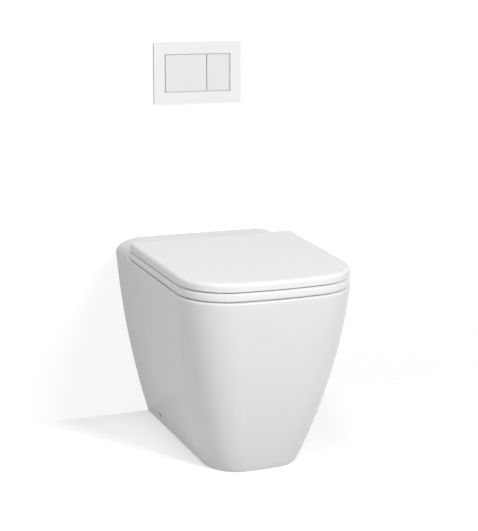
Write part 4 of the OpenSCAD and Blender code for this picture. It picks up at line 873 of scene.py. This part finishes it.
# The nodes that wear each finish
wear = {
    "chinaGlaze": ["pan"],
    "seatGloss": ["seat", "lid", "side_caps"],
    "plateGloss": ["flush_plate"],
    "buttonGloss": ["full_button", "half_button"],
    "whiteMoulding": ["wing_nuts", "valve_body", "valve_nut", "full_lever", "fill_valve"],
    "creamMoulding": ["cistern_tank", "tank_cover", "coupling_nut", "flush_pipe", "shank_nut",
                      "float_cup", "lever_spacers"],
    "greyMoulding": ["outlet_connector", "access_shroud", "overflow_tube"],
    "darkMoulding": ["plate_bracket"],
    "blueMoulding": ["floor_blocks", "half_lever", "half_flush_rod", "stop_handle"],
    "blackRubber": ["seat_buffers", "lid_buffers", "post_gaskets", "stud_washers", "outlet_seal",
                    "inlet_connector", "pipe_gasket", "valve_gasket", "valve_seal",
                    "shank_washer"],
    "brushedSteel": ["hinge_posts", "hinge_pins", "fixing_studs", "side_screws", "wall_straps",
                     "strap_screws", "lever_bracket", "bracket_rivets", "lever_pin",
                     "bracket_screws", "full_push_rod", "half_push_rod", "full_spring",
                     "half_spring", "float_rod"],
    "platedBrass": ["union_nut", "stop_valve"],
}


def dress(obj, material):
    obj.data.materials.clear()
    obj.data.materials.append(material)


for name, nodes in wear.items():
    for node in nodes:
        for slot in bpy.data.objects[node].material_slots:
            slot.material = paints[name]
for obj in bpy.data.objects:
    if obj.name.startswith("pan") and obj.name != "pan":
        dress(obj, paints["chinaGlaze"])
    if obj.name.startswith(("seatRing", "seatLug", "lidShell", "lidLug", "lidBoss")):
        dress(obj, paints["seatGloss"])
    if obj.name in ("fullCoil", "halfCoil"):
        dress(obj, paints["brushedSteel"])
print("materials made")

# The room in metres, and the wall's opening and place in millimetres
room = {"wide": 9.0, "deep": 9.0, "tall": 5.0, "airLight": 0.33,
        "floorColour": 0.8, "floorBounce": 0.6, "floorLift": 0.44,
        "wallColour": 0.18, "wallBounce": 0.18, "wallLift": 0.84,
        "openingFoot": 5, "openingInset": 3, "wallBehind": 0.4}


# 1 for what the camera sees, also in reflections and through clear things, 0 for other light
def seenShare(tree):
    path = tree.nodes.new("ShaderNodeLightPath")
    mirrored = combine(tree, "ADD", path.outputs["Is Glossy Ray"],
                       path.outputs["Is Transmission Ray"])
    seen = combine(tree, "ADD", path.outputs["Is Camera Ray"], mirrored.outputs[0])
    seen.use_clamp = True
    return seen.outputs[0]


# Plain paint that shows a little lighter to the camera, also in reflections, and keeps shadows;
# bounce is how light it is for the light that it throws back
def roomPaint(name, colour, bounce, glowing, clearBehind):
    material = bpy.data.materials.new(name)
    material.use_nodes = True
    tree = material.node_tree
    add, link = tree.nodes.new, tree.links.new
    tree.nodes.clear()
    seen = seenShare(tree)
    paint = add("ShaderNodeBsdfDiffuse")
    link(spread(tree, seen, bounce, colour).outputs["Result"], paint.inputs["Color"])
    glow = add("ShaderNodeEmission")
    link(combine(tree, "MULTIPLY", seen, glowing).outputs[0], glow.inputs["Strength"])
    last = add("ShaderNodeAddShader")
    link(paint.outputs[0], last.inputs[0])
    link(glow.outputs[0], last.inputs[1])
    if clearBehind:
        side = add("ShaderNodeNewGeometry")
        clear = add("ShaderNodeBsdfTransparent")
        mixed = add("ShaderNodeMixShader")
        link(side.outputs["Backfacing"], mixed.inputs["Fac"])
        link(last.outputs[0], mixed.inputs[1])
        link(clear.outputs[0], mixed.inputs[2])
        last = mixed
    out = add("ShaderNodeOutputMaterial")
    link(last.outputs[0], out.inputs["Surface"])
    return material


def roomPlane(name, corners, faces, material):
    mesh = bpy.data.meshes.new(name)
    mesh.from_pydata(corners, [], faces)
    obj = bpy.data.objects.new(name, mesh)
    bpy.context.scene.collection.objects.link(obj)
    mesh.materials.append(material)


# The wall is open behind the pan, a little inside its outline, so that light comes to its back:
# up the right side, round the shoulders and down the left side, joined to the wall's own edge
def openWall(half, tall):
    a = rounded(7)
    foot, inset = deckTop - china["shoulderHeight"], room["openingInset"]
    z = np.concatenate([np.linspace(room["openingFoot"], foot, 12)[:-1],
                        foot + china["shoulderHeight"] * np.sin(a)])
    x = halfWidth(z, 0) - inset
    x[-len(a):] -= china["shoulderWidth"] * (1 - np.cos(a))
    z = np.minimum(z, deckTop - inset) / 1000
    x = x / 1000
    rise = np.linspace(0, tall, len(z))
    outerX, innerX = np.repeat((half, -half), len(z)), np.r_[x, -x[::-1]]
    y = np.full(len(outerX), room["wallBehind"] / 1000)
    ring = np.vstack([np.c_[outerX, y, np.r_[rise, rise[::-1]]],
                      np.c_[innerX, y, np.r_[z, z[::-1]]]])
    roomPlane("roomWall", ring.tolist(), gridFaces(2, len(y))[:, ::-1].tolist(),
              roomPaint("wallPaint", room["wallColour"], room["wallBounce"], room["wallLift"],
                        True))


w, d = room["wide"] / 2, room["deep"]
roomPlane("roomFloor", [(-w, -d, 0), (w, -d, 0), (w, d / 2, 0), (-w, d / 2, 0)], [(0, 1, 2, 3)],
          roomPaint("floorPaint", room["floorColour"], room["floorBounce"], room["floorLift"],
                    False))
openWall(w, room["tall"])

world = bpy.data.worlds.new("roomAir")
bpy.context.scene.world = world
world.use_nodes = True
air = world.node_tree.nodes["Background"]
air.inputs["Color"].default_value = (1, 1, 1, 1)
strength = spread(world.node_tree, seenShare(world.node_tree), room["airLight"], 1)
world.node_tree.links.new(strength.outputs["Result"], air.inputs["Strength"])

lamps = {
    "mainLamp": {"at": (1.75, -5.1, 3.65), "to": (0, -0.2, 0.4), "size": 1.3, "power": 212},
    "leftLamp": {"at": (-2.6, -2.4, 1.0), "to": (0, -0.2, 0.4), "size": 1.2, "power": 18.5},
    "topLamp": {"at": (-0.6, -0.7, 3.2), "to": (0, -0.3, 0.3), "size": 1.2, "power": 24},
}


def aim(obj, at, to):
    obj.location = at
    obj.rotation_euler = (Vector(to) - Vector(at)).to_track_quat("-Z", "Y").to_euler()


for name, values in lamps.items():
    data = bpy.data.lights.new(name, "AREA")
    data.shape, data.size, data.energy = "DISK", values["size"], values["power"]
    lamp = bpy.data.objects.new(name, data)
    bpy.context.scene.collection.objects.link(lamp)
    aim(lamp, values["at"], values["to"])

# The place is in metres and the pitch goes down; focal length, shift and height of the picture
# are in pixels of the photograph
view = {"at": (-0.89376, -2.78265, 1.0413), "azimuth": 19.73, "pitch": 9.697, "focal": 1248.72,
        "shift": 80, "tall": 531, "sensor": 36}
cameraData = bpy.data.cameras.new("photoCamera")
camera = bpy.data.objects.new("photoCamera", cameraData)
bpy.context.scene.collection.objects.link(camera)
bpy.context.scene.camera = camera
a, p = math.radians(view["azimuth"]), math.radians(view["pitch"])
ahead = Vector((math.sin(a) * math.cos(p), math.cos(a) * math.cos(p), -math.sin(p)))
aim(camera, view["at"], Vector(view["at"]) + ahead)
# the sensor lies along the picture's long side
cameraData.sensor_width = view["sensor"]
cameraData.lens = view["focal"] * view["sensor"] / view["tall"]
cameraData.shift_y = -view["shift"] / view["tall"]
bpy.context.scene.view_settings.view_transform = "Standard"
print("room, lamps and camera set")
